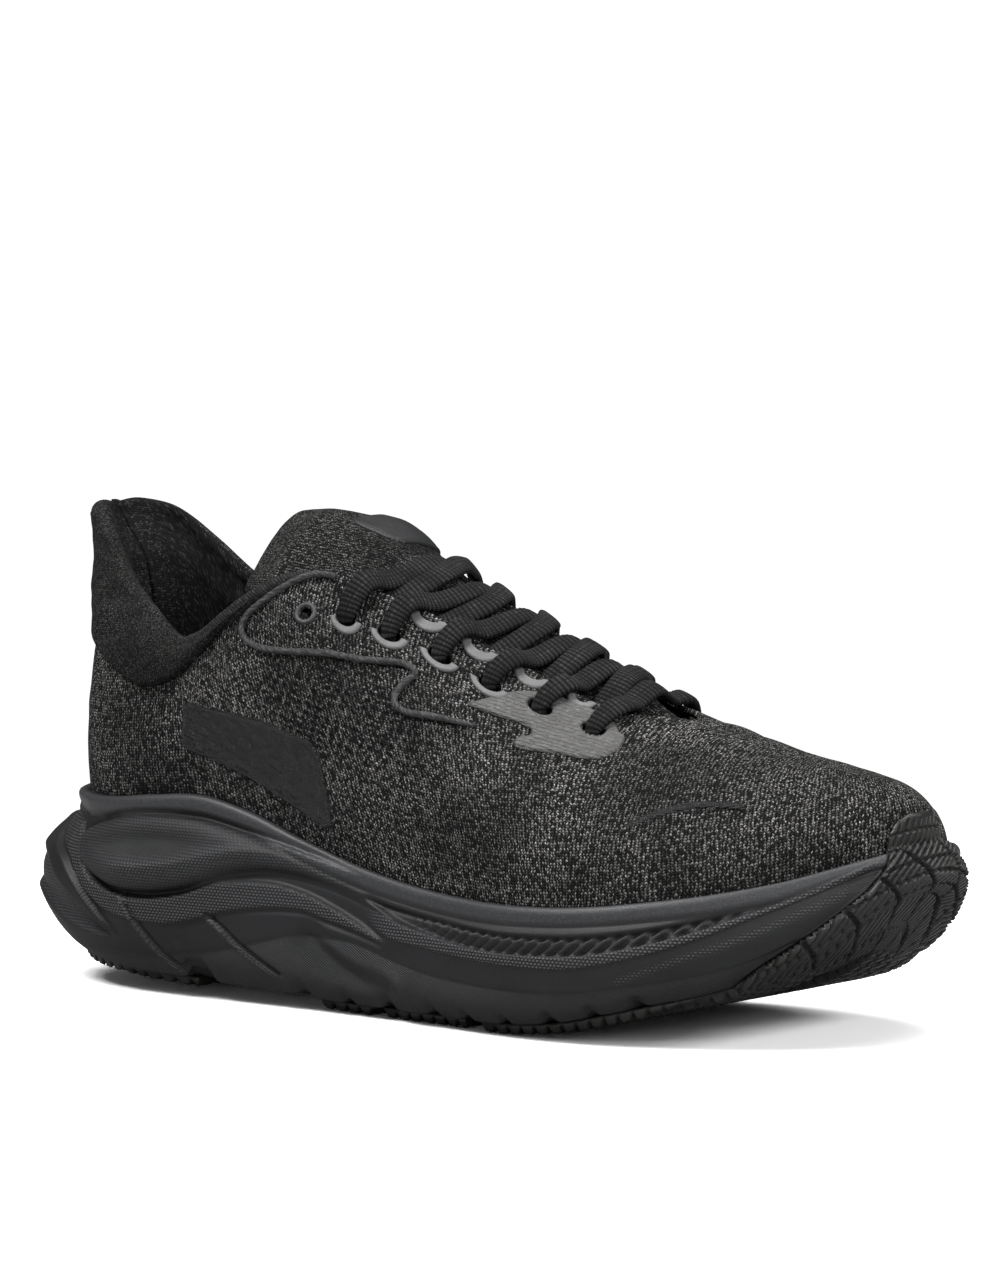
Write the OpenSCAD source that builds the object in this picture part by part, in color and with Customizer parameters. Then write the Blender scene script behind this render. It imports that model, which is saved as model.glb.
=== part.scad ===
// Running shoe for the right foot, in millimetres.
// +X points to the toe, +Y to the medial side, +Z up.
// The ground is z = 0 and the origin is under the middle of the shoe.
// Every layer is built on one surface. A station s runs round the shoe: 0 heel, lateral side,
// 11 toe, medial side, 22 heel. A row runs up it: 0 feather line, 1 collar, throat or ridge.
// A half station runs from 0 at the heel to 11 at the toe and stands for both sides.

/* [Upper] */
// Thickness of the knit shell
mesh_t = 1.4; // [1:0.1:1.6]
// Greatest thickness of the collar padding
collar_pad = 4; // [2:0.5:5]
// Thickness of the welded films
film_t = 0.4; // [0.3:0.1:0.6]
// Radius of the piping cord
piping_r = 0.9; // [0.6:0.1:1.1]
// Radius of the rolled collar binding
binding_r = 2; // [1.4:0.1:2.4]

/* [Lace] */
// Width of the lace where it lies flat
lace_w = 7.2; // [5:0.2:8]
// Thickness of the lace where it lies flat
lace_t = 2.2; // [1.4:0.1:2.4]

/* [Tongue] */
// Thickness of the tongue padding
tongue_pad = 4; // [2:0.5:5]

/* [Sole] */
// Thickness of the rubber pods
rubber_t = 3; // [2:0.2:3]
// Thickness of the sockliner foam
sockliner_t = 4; // [3:0.5:5]

/* [Hidden] */
LATERAL = -1;
MEDIAL = 1;
LAP = 22;         // stations in one trip round the shoe
RIDGE_START = 8;  // half station where the throat closes into the ridge
WALL_LEAN = 0.16; // outward lean of the wall at the feather line
SOLE_GAP = 0.3;   // part of the space between the foam and the rubber

MIDSOLE_COLOR = [.23,.24,.26];
RUBBER_COLOR = [.1,.1,.1];
BOARD_COLOR = [.75,.72,.66];
GREY = [.3,.3,.32];
BINDING_COLOR = [.12,.12,.13];
MESH_COLOR = [.13,.13,.14];
STIFFENER_COLOR = [.6,.58,.52];
PADDING_COLOR = [.82,.78,.6];
COVER_COLOR = [.15,.15,.16];
LINING_COLOR = [.16,.16,.17];
FILM_COLOR = [.66,.66,.67];
PIPING_COLOR = [.3,.3,.31];
BADGE_COLOR = [.1,.1,.11];
LACE_COLOR = [.08,.08,.09];
TIP_COLOR = [.07,.07,.08];

// ---- measured tables
// x, y of the widest plan outline of the sole, one point for each station
OUTLINE = [
    [-150,0],[-144,-21],[-127,-36],[-98,-44.5],[-62,-46],[-22,-46.5],[18,-51],[54,-55.5],
    [86,-52],[115,-38.5],[137,-16],[147.35,9],[143,33],[125,50.2],[95,55.3],[60,53.6],
    [22,47],[-18,42],[-58,42],[-96,41.5],[-126,34.5],[-144,20]];
// x, rim height, footbed height, height of the underside
HEIGHTS = spline([
    [-150,56.3,39.8,21],[-140,55.8,39.8,11],[-125,55.3,39.3,6.5],[-105,55.3,38.8,4.4],
    [-85,57.3,37.8,3.2],[-66,58.3,36.3,2.4],[-48,54.8,34.8,1.5],[-30,48.6,32.8,0.6],
    [-11,43.1,31.3,0],[8,39.4,29.8,0],[27,37.2,28.3,0],[46,36.4,27.6,0.2],[64,36.8,27.8,1.8],
    [80,38,28.8,5],[93,39.6,30,8],[106,41.4,31.8,11],[116,43.2,33.8,14],[126,45.6,36.3,18.8],
    [134,48.4,38.8,24.5],[141,51.2,41.3,31.5],[150,54.8,43.8,40.5]]);
RIM = 0;
FOOTBED = 1;
UNDERSIDE = 2;
// half station, x, half width, height of the top edge, direction down from it (x, outward, z),
// reach of the curve at the top, reach at the bottom
TOP_EDGE = spline([
    [0,-134.5,0,136.8,0.5,0,-0.87,40,36],[0.7,-131,9.5,138.3,0.42,-0.12,-0.92,40,36],
    [1.3,-122.5,17,135.8,0.28,-0.2,-0.93,36,33],[2,-112.5,22,127.3,0.12,-0.3,-0.95,30,30],
    [2.7,-101.5,27,116.3,0.02,-0.35,-0.94,24,26],[3.2,-91,30.5,108.8,0,-0.33,-0.94,20,22],
    [3.7,-80,32.5,101.3,0,-0.3,-0.95,17,20],[4.1,-72,33,102.3,0,-0.3,-0.95,18,20],
    [4.5,-62,33,108.8,0,-0.32,-0.95,22,22],[4.9,-50,32,116.8,0,-0.38,-0.92,26,24],
    [5.3,-38,29,121.8,0,-0.5,-0.87,30,26],[5.6,-28,25,121.3,0,-0.62,-0.78,30,28],
    [5.9,-18,21.5,117.3,0,-0.68,-0.73,28,28],[6.3,0,18.5,110.3,0,-0.74,-0.67,26,28],
    [6.7,20,18,101.1,0,-0.78,-0.62,25,27],[7.1,40,16.5,93.1,0,-0.84,-0.54,25,24],
    [7.5,58,13.5,86.6,0.05,-0.9,-0.43,26,20],[7.8,68,7.5,85.3,0.1,-0.97,-0.25,28,18],
    [8,74,0,84.1,0.05,-1,-0.05,30,17],[8.5,84,0,81.1,0.05,-1,-0.02,30,15],
    [9,97,0,77.4,0.12,-0.99,0,29,14],[9.5,109,0,74.8,0.3,-0.95,0,26,13.5],
    [10,119,0,73.1,0.58,-0.81,-0.03,22,13],[10.5,126,0,72,0.86,-0.5,-0.06,17,13],
    [11,130,0,71.2,1,0,-0.08,15,13]]);
// x, y of the ridge
RIDGE_LINE = spline([[-150,0],[-60,0],[-20,2],[20,4],[74,6],[110,8],[150,10]]);
// half station, inset of the upper's bottom edge from the outline
FOOT_INSET = spline([
    [0,21.5],[1,19.8],[2,14],[3,9.5],[4,7.6],[6,7],[8,6.8],[9,6],[10,4.9],[11,4.6]]);
// side profiles of the foam: height fraction, inset
SIDE_PROFILE = spline([
    [0,6.5],[.06,3.8],[.15,1.8],[.3,.5],[.45,0],[.6,.6],[.75,2.2],[.9,4.2],[1,5.2]]);
HEEL_PROFILE = spline([
    [0,16],[.08,9],[.2,3.5],[.32,.5],[.42,0],[.5,1.2],[.6,4.2],[.72,9],[.86,13.5],[1,17.5]]);
TOE_PROFILE = spline([
    [0,7],[.1,4.5],[.25,1.6],[.45,0],[.6,0],[.8,.8],[.9,1.6],[1,2.6]]);
// tongue: x, height at the middle, half width and height under the throat edge,
// half width and height of the wing; looked up by -x
TONGUE = spline([for (row = [
    [80,76.8,10,75.8,17,72.3],[70,81.6,10,78.8,18,74.8],[58,88.8,11,81.3,19,77.4],
    [40,97.3,13.3,88.2,20.9,83.3],[20,106.3,14.3,96.5,21.5,90.8],[0,115.1,14.5,105.9,21.2,99.8],
    [-18,123.3,17.2,113.3,23.3,106.8],[-28,128.1,20.3,117.6,25.5,110.3],
    [-38,132.1,23,118.8,26,110.8],[-48,135.1,24,119.3,25.8,111.3],
    [-60,136.3,23.5,119.3,25,111.8]]) concat([-row[0]], row)]);
// half stations of the eyelets, half their length, and the two rows that bound them
EYELETS = [5.38,5.72,6.05,6.39,6.73,7.06,7.42];
EYELET_HALF = 0.09;
EYELET_ROWS = [0.82,0.9];
EYELET_MIDDLE = (EYELET_ROWS[0] + EYELET_ROWS[1])/2;

// ---- curves
function unit(v) = v/max(norm(v), 1e-9);
function smooth(a, b, x) = let(t = min(max((x - a)/(b - a), 0), 1)) t*t*(3 - 2*t);
function lerp(a, b, t) = a + (b - a)*t;
function reverse(list) = [for (i = [len(list)-1:-1:0]) list[i]];
// a table made ready for at(): keys, values and slopes
function spline(table) =
    let(
        last = len(table) - 1,
        keys = [for (row = table) row[0]],
        values = [for (row = table) [for (j = [1:len(row)-1]) row[j]]]
    )
    [keys, values, [for (i = [0:last])
        let(a = max(i-1, 0), b = min(i+1, last)) (values[b] - values[a])/(keys[b] - keys[a])]];
function span(keys, x, i=0) = i >= len(keys)-2 || x < keys[i+1] ? i : span(keys, x, i+1);
// Hermite value of every column of a spline, held at its ends
function at(curve, key) =
    let(
        keys = curve[0],
        values = curve[1],
        slopes = curve[2],
        x = min(max(key, keys[0]), keys[len(keys)-1]),
        i = span(keys, x),
        step = keys[i+1] - keys[i],
        t = (x - keys[i])/step
    )
    (2*t*t*t - 3*t*t + 1)*values[i] + (t*t*t - 2*t*t + t)*step*slopes[i]
        + (3*t*t - 2*t*t*t)*values[i+1] + (t*t*t - t*t)*step*slopes[i+1];
// Catmull-Rom point between b and c, and its tangent
function catmull(a, b, c, d, t) =
    0.5*((2*b) + (c - a)*t + (2*a - 5*b + 4*c - d)*t*t + (3*b - a - 3*c + d)*t*t*t);
function catmull_tangent(a, b, c, d, t) =
    0.5*((c - a) + 2*(2*a - 5*b + 4*c - d)*t + 3*(3*b - a - 3*c + d)*t*t);
// a path with one more point between each two
function refine(path) =
    let(n = len(path))
    concat([for (i = [0:n-2]) for (t = [0,.5])
        catmull(path[max(i-1, 0)], path[i], path[i+1], path[min(i+2, n-1)], t)], [path[n-1]]);
function bezier(e, v) =
    let(u = 1 - v) e[0]*u*u*u + e[1]*3*v*u*u + e[2]*3*v*v*u + e[3]*v*v*v;

// ---- surface
function wrap(s) = s - LAP*floor(s/LAP);
function fold(s) = let(u = wrap(s)) min(u, LAP - u);
function side_of(s) = wrap(s) <= LAP/2 ? LATERAL : MEDIAL;
// a half station, or a run of them, on one side
function on_side(half, side) = side < 0 ? half : LAP - half;
function run_on_side(halves, side) =
    side < 0 ? halves : reverse([for (half = halves) LAP - half]);
// plan point of the outline and its outward direction
function outline(s) =
    let(
        u = wrap(s),
        i = floor(u),
        t = u - i,
        a = OUTLINE[(i + LAP - 1)%LAP],
        b = OUTLINE[i%LAP],
        c = OUTLINE[(i + 1)%LAP],
        d = OUTLINE[(i + 2)%LAP],
        along = unit(catmull_tangent(a, b, c, d, t))
    )
    [catmull(a, b, c, d, t), [along[1], -along[0]]];
// plan point of the upper's bottom edge, or one further inward
function foot(s, inward=0) =
    let(plan = outline(s)) plan[0] - plan[1]*(at(FOOT_INSET, fold(s))[0] + inward);
function foot_heights(s) = at(HEIGHTS, foot(s)[0]);
// a point inward from the bottom edge at a height above the footbed
function bed(s, inward, height) =
    let(p = foot(s, inward)) [p[0], p[1], foot_heights(s)[FOOTBED] + height];
// the four control points of the upper's section at a station
function section(s) =
    let(
        half = fold(s),
        side = side_of(s),
        out = outline(s)[1],
        base = foot(s),
        edge = at(TOP_EDGE, half),
        width = half >= RIDGE_START ? 0 : max(edge[1], 0),
        bottom = [base[0], base[1], foot_heights(s)[RIM] - 3],
        top = [edge[0], at(RIDGE_LINE, edge[0])[0] + side*width, edge[2]],
        down = unit([edge[3], -side*edge[4], edge[5]]),
        up = unit([out[0]*WALL_LEAN, out[1]*WALL_LEAN, 1])
    )
    [bottom, bottom + up*edge[7], top + down*edge[6], top];
// the sections before, at and after a station
function around(s) = [section(s - .02), section(s), section(s + .02)];
function ridge_normal(half) =
    let(a = at(TOP_EDGE, half - .05), b = at(TOP_EDGE, half + .05))
    unit([a[2] - b[2], 0, b[0] - a[0]]);
function normal(near, row, half) =
    row >= 1 && half >= RIDGE_START ? ridge_normal(half)
    : unit(cross(bezier(near[2], row) - bezier(near[0], row),
        bezier(near[1], min(row + .01, 1)) - bezier(near[1], max(row - .01, 0))));
// rows -1 to -3 turn in under the foot
function turned_in(s, row, shift) =
    let(
        z = foot_heights(s),
        place = row == -1 ? [.8 - shift, (z[RIM] - z[FOOTBED])*.4]
            : row == -2 ? [4 - .7*shift, 1.4 - .7*shift]
            : [8, 1 - shift]
    )
    bed(s, place[0], place[1]);
// a point of the upper, shifted outward
function upper_point(near, s, row, shift) =
    row >= 0 ? bezier(near[1], row) + normal(near, row, fold(s))*shift
    : turned_in(s, row, shift);
function wall_point(s, row, shift) = upper_point(around(s), s, row, shift);
function outward(s, row) = unit(wall_point(s, row, 1) - wall_point(s, row, 0));
// inset of the foam's side, blended between the heel, side and toe profiles
function foam_inset(s, height) =
    let(
        half = fold(s),
        heel = 1 - smooth(.6, 3.2, half),
        toe = smooth(8.3, 10.4, half)
    )
    at(SIDE_PROFILE, height)[0]*(1 - heel)*(1 - toe)
        + at(HEEL_PROFILE, height)[0]*heel + at(TOE_PROFILE, height)[0]*toe;
function foam_bottom(x) = max(at(HEIGHTS, x)[UNDERSIDE], 0) + rubber_t + SOLE_GAP;
// a point of the foam's side wall at a fraction of its height
function foam_point(s, height, out=0) =
    let(
        plan = outline(s),
        x = plan[0][0],
        bottom = foam_bottom(x),
        p = plan[0] - plan[1]*(foam_inset(s, height) - out)
    )
    [p[0], p[1], bottom + height*(at(HEIGHTS, x)[RIM] - bottom)];

// ---- grid of stations and rows
// The heel tab ends at TAB_END and the panels beside it start at PANEL_START.
TAB_END = 2.43;
PANEL_START = 2.47;
TAB_SPLIT = 2.45;
PANEL_END = 4.55;
// row where the layers under the tab stop, and where tab and panels begin
CUT_ROW = .6;
PANEL_ROW = .615;
HALVES = concat([for (i = [0:6]) i*.35], [TAB_END, PANEL_START], [for (i = [8:13]) i*.35],
    [4.9,5.15], [for (c = EYELETS) each [c - EYELET_HALF, c + EYELET_HALF]],
    [7.7,8,8.3,8.6,8.9,9.2,9.5,9.8,10.1,10.4,10.7,11]);
ALL_STATIONS = concat(HALVES, [for (i = [len(HALVES)-2:-1:1]) LAP - HALVES[i]]);
ALL_ROWS = [-3,-2,-1,0,.12,.24,.36,.48,CUT_ROW,PANEL_ROW,.72,
    EYELET_ROWS[0],EYELET_ROWS[1],.95,1];
function between(list, a, b) = [for (v = list) if (v >= a - .001 && v <= b + .001) v];
function row_range(a, b) = between(ALL_ROWS, a, b);
// stations from one side to the other through the heel, and through the toe
function heel_run(half) =
    let(run = between(HALVES, 0, half)) concat([for (i = [len(run)-1:-1:1]) -run[i]], run);
function toe_run(half) =
    let(run = between(HALVES, half, LAP/2))
    concat(run, [for (i = [len(run)-2:-1:0]) LAP - run[i]]);
function in_eyelet(half, row) = row > EYELET_ROWS[0] && row < EYELET_ROWS[1]
    && len([for (c = EYELETS) if (abs(half - c) < EYELET_HALF) 1]) > 0;
function clear_of_tab(half, row) = half > TAB_SPLIT || row < CUT_ROW;
// the same shift everywhere
function level(shift) = function(half, row) shift;

// ---- solids
// faces of a cell on both skins, and of the wall that joins them along one edge;
// the second skin's points come "off" places after the first's
function cell_faces(a, b, c, d, off) = [[a,d,c,b], [a+off,b+off,c+off,d+off]];
function joint(a, b, off) = [a, b, b+off, a+off];
// one closed solid between two skins of a grid, open where keep() is false
module skin(stations, rows, outer, inner, keep=function(half, row) true, ring=false,
        point=function(near, s, row, shift) upper_point(near, s, row, shift)) {
    n = len(stations);
    k = len(rows);
    strips = ring ? n : n-1;
    near = [for (s = stations) around(s)];
    points = function(shift) [for (i = [0:n-1]) for (j = [0:k-1])
        point(near[i], stations[i], rows[j], shift(fold(stations[i]), rows[j]))];
    on_ridge = function(i, j) rows[j] == 1 && fold(stations[i%n]) >= RIDGE_START;
    // the two sides share their points on the ridge
    index = function(i0, j)
        let(i = i0%n, shared = on_ridge(i, j) ? min(i, ring ? (n-i)%n : n-1-i) : i)
        shared*k + j;
    middle = function(i)
        let(a = stations[i], b = i+1 < n ? stations[i+1] : LAP) fold((a + b)/2);
    has = function(i0, j)
        let(i = ring ? (i0+n)%n : i0)
        i >= 0 && i < strips && j >= 0 && j < k-1 && keep(middle(i), (rows[j] + rows[j+1])/2);
    off = n*k;
    faces = [for (i = [0:strips-1]) for (j = [0:k-2]) if (has(i, j))
        let(a = index(i, j), b = index(i+1, j), c = index(i+1, j+1), d = index(i, j+1))
        each concat(
            cell_faces(a, b, c, d, off),
            has(i, j-1) ? [] : [joint(a, b, off)],
            has(i+1, j) ? [] : [joint(b, c, off)],
            has(i, j+1) || (j == k-2 && on_ridge(i, k-1) && on_ridge(i+1, k-1))
                ? [] : [joint(c, d, off)],
            has(i-1, j) ? [] : [joint(d, a, off)])];
    polyhedron(concat(points(outer), points(inner)), faces, convexity=10);
}
// a solid sheet between two free grids of points
module sheet(outer, inner) {
    n = len(outer);
    k = len(outer[0]);
    off = n*k;
    faces = concat(
        [for (i = [0:n-2]) for (j = [0:k-2])
            let(a = i*k + j) each cell_faces(a, a+k, a+k+1, a+1, off)],
        [for (i = [0:n-2]) joint(i*k, i*k + k, off)],
        [for (i = [0:n-2]) let(d = i*k + k-1) joint(d+k, d, off)],
        [for (j = [0:k-2]) joint(j+1, j, off)],
        [for (j = [0:k-2]) let(b = (n-1)*k + j) joint(b, b+1, off)]);
    polyhedron(concat([for (g = outer) each g], [for (g = inner) each g]), faces, convexity=10);
}
// a sheet on the upper over a grid of [station, row]
module patch(grid, inner, outer) {
    layer = function(shift) [for (g = grid) [for (q = g) wall_point(q[0], q[1], shift)]];
    sheet(layer(outer), layer(inner));
}
// a stack of closed rings, closed below and above by strips across the shoe
module rings(stack) {
    k = len(stack);
    n = len(stack[0]);
    h = n/2;
    t = (k-1)*n;
    faces = concat(
        [for (j = [0:k-2]) for (i = [0:n-1])
            let(a = j*n + i, b = j*n + (i+1)%n) [a, a+n, b+n, b]],
        [[0,1,n-1]], [for (i = [1:h-2]) [i, i+1, n-i-1, n-i]], [[h-1,h,h+1]],
        [[t+1,t,t+n-1]], [for (i = [1:h-2]) [t+i+1, t+i, t+n-i, t+n-i-1]],
        [[t+h,t+h-1,t+h+1]]);
    polyhedron([for (r = stack) each r], faces, convexity=10);
}
// a tube of six-sided oval section
module tube(path, out, half_w, half_t) {
    n = len(path);
    sides = 6;
    along = [for (i = [0:n-1]) unit(path[min(i+1, n-1)] - path[max(i-1, 0)])];
    across = [for (i = [0:n-1]) unit(cross(along[i], out[i]))];
    up = [for (i = [0:n-1]) cross(across[i], along[i])];
    points = [for (i = [0:n-1]) for (j = [0:sides-1])
        let(a = 360*j/sides)
        path[i] + across[i]*half_w[i]*cos(a) + up[i]*half_t[i]*sin(a)];
    faces = concat(
        [for (i = [0:n-2]) for (j = [0:sides-1])
            let(a = i*sides + j, b = i*sides + (j+1)%sides) [a, b, b+sides, a+sides]],
        [[for (j = [0:sides-1]) sides-1-j]],
        [[for (j = [0:sides-1]) (n-1)*sides + j]]);
    polyhedron(points, faces, convexity=10);
}
module cord(path, out, radius) {
    radii = [for (p = path) radius];
    tube(path, out, radii, radii);
}

// ---- sole
// height of the foam's lip above the footbed
function lip(s) = let(z = foot_heights(s)) z[RIM] - z[FOOTBED] - .3;
function bed_ring(inward, height) = [for (s = ALL_STATIONS) bed(s, inward, height)];
module midsole() color(MIDSOLE_COLOR) rings(concat(
    [for (height = SIDE_PROFILE[0]) [for (s = ALL_STATIONS) foam_point(s, height)]],
    [[for (s = ALL_STATIONS) bed(s, -.6, lip(s))],
     [for (s = ALL_STATIONS) bed(s, .2, lip(s)*.4)],
     bed_ring(3.2, .8), bed_ring(8, .4)]));
// a rubber pod under the foam between two half stations and two fractions of the width,
// 0 lateral and 1 medial
module pod(from_half, to_half, from_width, to_width) {
    columns = 4;
    layer = function(drop) [for (j = [0:columns])
        [for (half = between(HALVES, from_half, to_half))
            lerp(foam_point(half, 0), foam_point(LAP - half, 0),
                lerp(from_width, to_width, j/columns)) - [0,0,drop]]];
    color(RUBBER_COLOR) sheet(layer(SOLE_GAP + rubber_t), layer(SOLE_GAP + .1));
}
module outsole_heel_lateral() pod(.7, 4.2, .03, .36);
module outsole_heel_medial() pod(.7, 4.2, .64, .97);
module outsole_mid_lateral_1() pod(4.55, 5.29, .03, .3);
module outsole_mid_lateral_2() pod(5.47, 6.14, .03, .3);
module outsole_mid_medial() pod(4.9, 6.14, .7, .97);
module outsole_forefoot_lateral() pod(6.48, 8.9, .02, .4);
module outsole_forefoot_medial() pod(6.48, 8.9, .6, .98);
// toe rubber: rows from 20 lie under the foam (20 plus the distance inward),
// 10 to 11 on its side (10 plus the height fraction), 0 to 1 on the upper
TOE_RUBBER_ROWS = [34,27,10,10.15,10.35,10.6,10.85,11,.17,.26,.36];
function under_foam(s, inward, shift) =
    let(
        plan = outline(s),
        p = plan[0] - plan[1]*(foam_inset(s, 0) + inward)
    )
    [p[0], p[1], foam_bottom(plan[0][0] - plan[1][0]*inward*1.2) - shift - .6];
function toe_rubber_point(near, s, row, shift) =
    row >= 20 ? under_foam(s, row - 20, shift)
    : row >= 10 ? foam_point(s, row - 10, shift)
        + [0, 0, row == 10 ? -.7*shift : row == 11 ? .8 : 0]
    : upper_point(near, s, row, shift);
module outsole_toe() color(RUBBER_COLOR)
    skin(toe_run(9.8), TOE_RUBBER_ROWS,
        function(half, row) row >= 10 ? 2.6 : 1.9,
        function(half, row) row >= 10 ? .6 : .8,
        keep=function(half, row) half > 10.35 || row > 9,
        point=function(near, s, row, shift) toe_rubber_point(near, s, row, shift));

// ---- inside the shoe
SOCKLINER_INSET = 7.4;
SOCKLINER_BOTTOM = 3;
SOCKLINER_TOP = SOCKLINER_BOTTOM + sockliner_t;
module strobel_board() color(BOARD_COLOR) rings([bed_ring(8.7, 1), bed_ring(8.7, 2.5)]);
module sockliner_foam() color(GREY)
    rings([bed_ring(8.2, SOCKLINER_BOTTOM), bed_ring(SOCKLINER_INSET, SOCKLINER_TOP)]);
module sockliner_cover() color(BINDING_COLOR)
    rings([for (lift = [.3,1.1]) bed_ring(SOCKLINER_INSET, SOCKLINER_TOP + lift)]);

// ---- upper
BEHIND_MESH = mesh_t + .4; // depth where the inner layers start
STIFFENER_TOP = .36;       // top row of the toe puff and heel counter
COLLAR_END = 4.9;          // half station where the collar layers stop
FILM_LIFT = .35;           // height of the films above the shell
module upper_mesh() color(MESH_COLOR)
    skin(ALL_STATIONS, ALL_ROWS, level(0), level(-mesh_t),
        keep=function(half, row) clear_of_tab(half, row) && !in_eyelet(half, row), ring=true);
function lining_depth(half) = BEHIND_MESH + smooth(9.2, 9.8, half);
module upper_lining() color(GREY)
    skin(toe_run(5.15), row_range(-2, 1),
        function(half, row) -lining_depth(half),
        function(half, row) -lining_depth(half) - 1,
        keep=function(half, row)
            !in_eyelet(half, row) && !(row > EYELET_ROWS[1] && half < 7.7));
module stiffener(stations, thickness) color(STIFFENER_COLOR)
    skin(stations, row_range(0, STIFFENER_TOP),
        level(-BEHIND_MESH), level(-BEHIND_MESH - thickness));
module toe_puff() stiffener(toe_run(9.8), .6);
module heel_counter() stiffener(heel_run(2.8), 1);
// depth of the back of the collar padding
function collar_depth(half, row) = BEHIND_MESH + 1 + collar_pad*smooth(.45, .65, row)
    *(1 - smooth(.85, .97, row))*(1 - smooth(3.9, 4.8, half));
module collar_foam() color(PADDING_COLOR)
    skin(heel_run(COLLAR_END), row_range(.48, 1), level(-BEHIND_MESH),
        function(half, row) -collar_depth(half, row),
        keep=function(half, row) clear_of_tab(half, row));
module collar_lining() color(LINING_COLOR)
    skin(heel_run(COLLAR_END), row_range(-2, 1),
        function(half, row) -collar_depth(half, row) - .4,
        function(half, row) -collar_depth(half, row) - 1.3,
        keep=function(half, row) clear_of_tab(half, row));
module heel_panel(side) color(COVER_COLOR)
    skin(run_on_side(between(HALVES, PANEL_START, PANEL_END), side), row_range(PANEL_ROW, 1),
        level(1.8), level(.4),
        keep=function(half, row) row > .6 + .34*smooth(3, 4.4, half));
module heel_cover_lateral() heel_panel(LATERAL);
module heel_cover_medial() heel_panel(MEDIAL);
module tab_layer(outer, inner)
    skin(heel_run(TAB_END), row_range(PANEL_ROW, 1), outer, inner);
function tab_padding(row) = collar_pad*(1 - smooth(.8, .97, row));
module tab_cover() color(COVER_COLOR) tab_layer(level(1.4), level(0));
module tab_foam() color(PADDING_COLOR)
    tab_layer(level(-.4), function(half, row) -1.4 - tab_padding(row));
module tab_lining() color(LINING_COLOR)
    tab_layer(function(half, row) -1.8 - tab_padding(row),
        function(half, row) -2.7 - tab_padding(row));
// rolled edge along the collar
module collar_binding(side) {
    halves = [for (i = [0:26]) lerp(2.55, 5.24, i/26)];
    near = [for (half = halves) around(on_side(half, side))];
    rise = [for (e = near) unit(e[1][3] - e[1][2])];
    path = [for (i = [0:26])
        near[i][1][3] + rise[i]*(binding_r + .9) - normal(near[i], 1, halves[i])*2];
    color(BINDING_COLOR) cord(path, rise, binding_r);
}
module collar_binding_lateral() collar_binding(LATERAL);
module collar_binding_medial() collar_binding(MEDIAL);
module film_skin(halves, side, rows, keep) color(FILM_COLOR)
    skin(run_on_side(halves, side), rows, level(FILM_LIFT + film_t), level(FILM_LIFT),
        keep=keep);
// welded film round one eyelet: a full rim round eyelet 0, a U under the others
module film(i, side) {
    c = EYELETS[i];
    film_skin([c - .15, c - EYELET_HALF, c + EYELET_HALF, c + .15], side,
        [.785, EYELET_ROWS[0], EYELET_ROWS[1], i == 0 ? .925 : .91],
        function(half, row) !in_eyelet(half, row) && (i == 0 || row < EYELET_ROWS[1]));
}
module film_lateral_0() film(0, LATERAL);
module film_lateral_1() film(1, LATERAL);
module film_lateral_2() film(2, LATERAL);
module film_lateral_3() film(3, LATERAL);
module film_lateral_4() film(4, LATERAL);
module film_medial_0() film(0, MEDIAL);
module film_medial_1() film(1, MEDIAL);
module film_medial_2() film(2, MEDIAL);
module film_medial_3() film(3, MEDIAL);
module film_medial_4() film(4, MEDIAL);
// stepped film round the last two eyelets
module throat_film(side) {
    a = EYELETS[5];
    b = EYELETS[6];
    step_row = .72;
    film_skin([6.68, 6.8, a - EYELET_HALF, a + EYELET_HALF, 7.24,
            b - EYELET_HALF, b + EYELET_HALF, 7.6], side,
        [.66, step_row, .78, EYELET_ROWS[0], EYELET_ROWS[1], .93],
        function(half, row) !in_eyelet(half, row)
            && !(half < a - EYELET_HALF && row > step_row)
            && !(half > b - EYELET_HALF && row < step_row)
            && !(row > EYELET_ROWS[1] && in_eyelet(half, EYELET_MIDDLE)));
}
module throat_film_lateral() throat_film(LATERAL);
module throat_film_medial() throat_film(MEDIAL);
// half station, row along the piping
PIPING = [
    [5.56,.985],[5.47,.99],[5.35,.985],[5.15,.967],[4.9,.942],[4.78,.925],[4.73,.883],[4.8,.82],
    [4.98,.767],[5.33,.733],[5.75,.725],[6,.745],[6.18,.765],[6.25,.745],[6.18,.7],[6.1,.645],
    [6.1,.612],[6.2,.6],[6.4,.62],[6.61,.65]];
module piping(side) {
    route = [for (q = refine([for (q = PIPING) [on_side(q[0], side), q[1]]]))
        [q[0], min(q[1], .99)]];
    color(PIPING_COLOR) cord([for (q = route) wall_point(q[0], q[1], piping_r + .4)],
        [for (q = route) outward(q[0], q[1])], piping_r);
}
module piping_lateral() piping(LATERAL);
module piping_medial() piping(MEDIAL);
// narrow curved strip on the lateral side of the toe
module toe_accent() color(GREY)
    patch([for (i = [0:8])
        let(t = i/8, s = lerp(7.95, 9.15, t), row = .385 + .145*sin(t*115))
        [for (d = [-.012,.012]) [s, row + d*(1 - t*t*.5)]]],
        FILM_LIFT, FILM_LIFT + film_t);
// plain raised panel on each quarter
module emblem(side) {
    top = FILM_LIFT + .7;
    grid = [for (i = [0:16]) let(t = i/16) [for (j = [0:5]) let(u = j/5)
        [on_side(3.75 + t*1.35 + u*.12, side), lerp(.3, .62, u) - .19*t]]];
    color(BADGE_COLOR)
        patch(grid, side < 0 ? FILM_LIFT : top, side < 0 ? top : FILM_LIFT);
}
module side_emblem_lateral() emblem(LATERAL);
module side_emblem_medial() emblem(MEDIAL);

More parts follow.
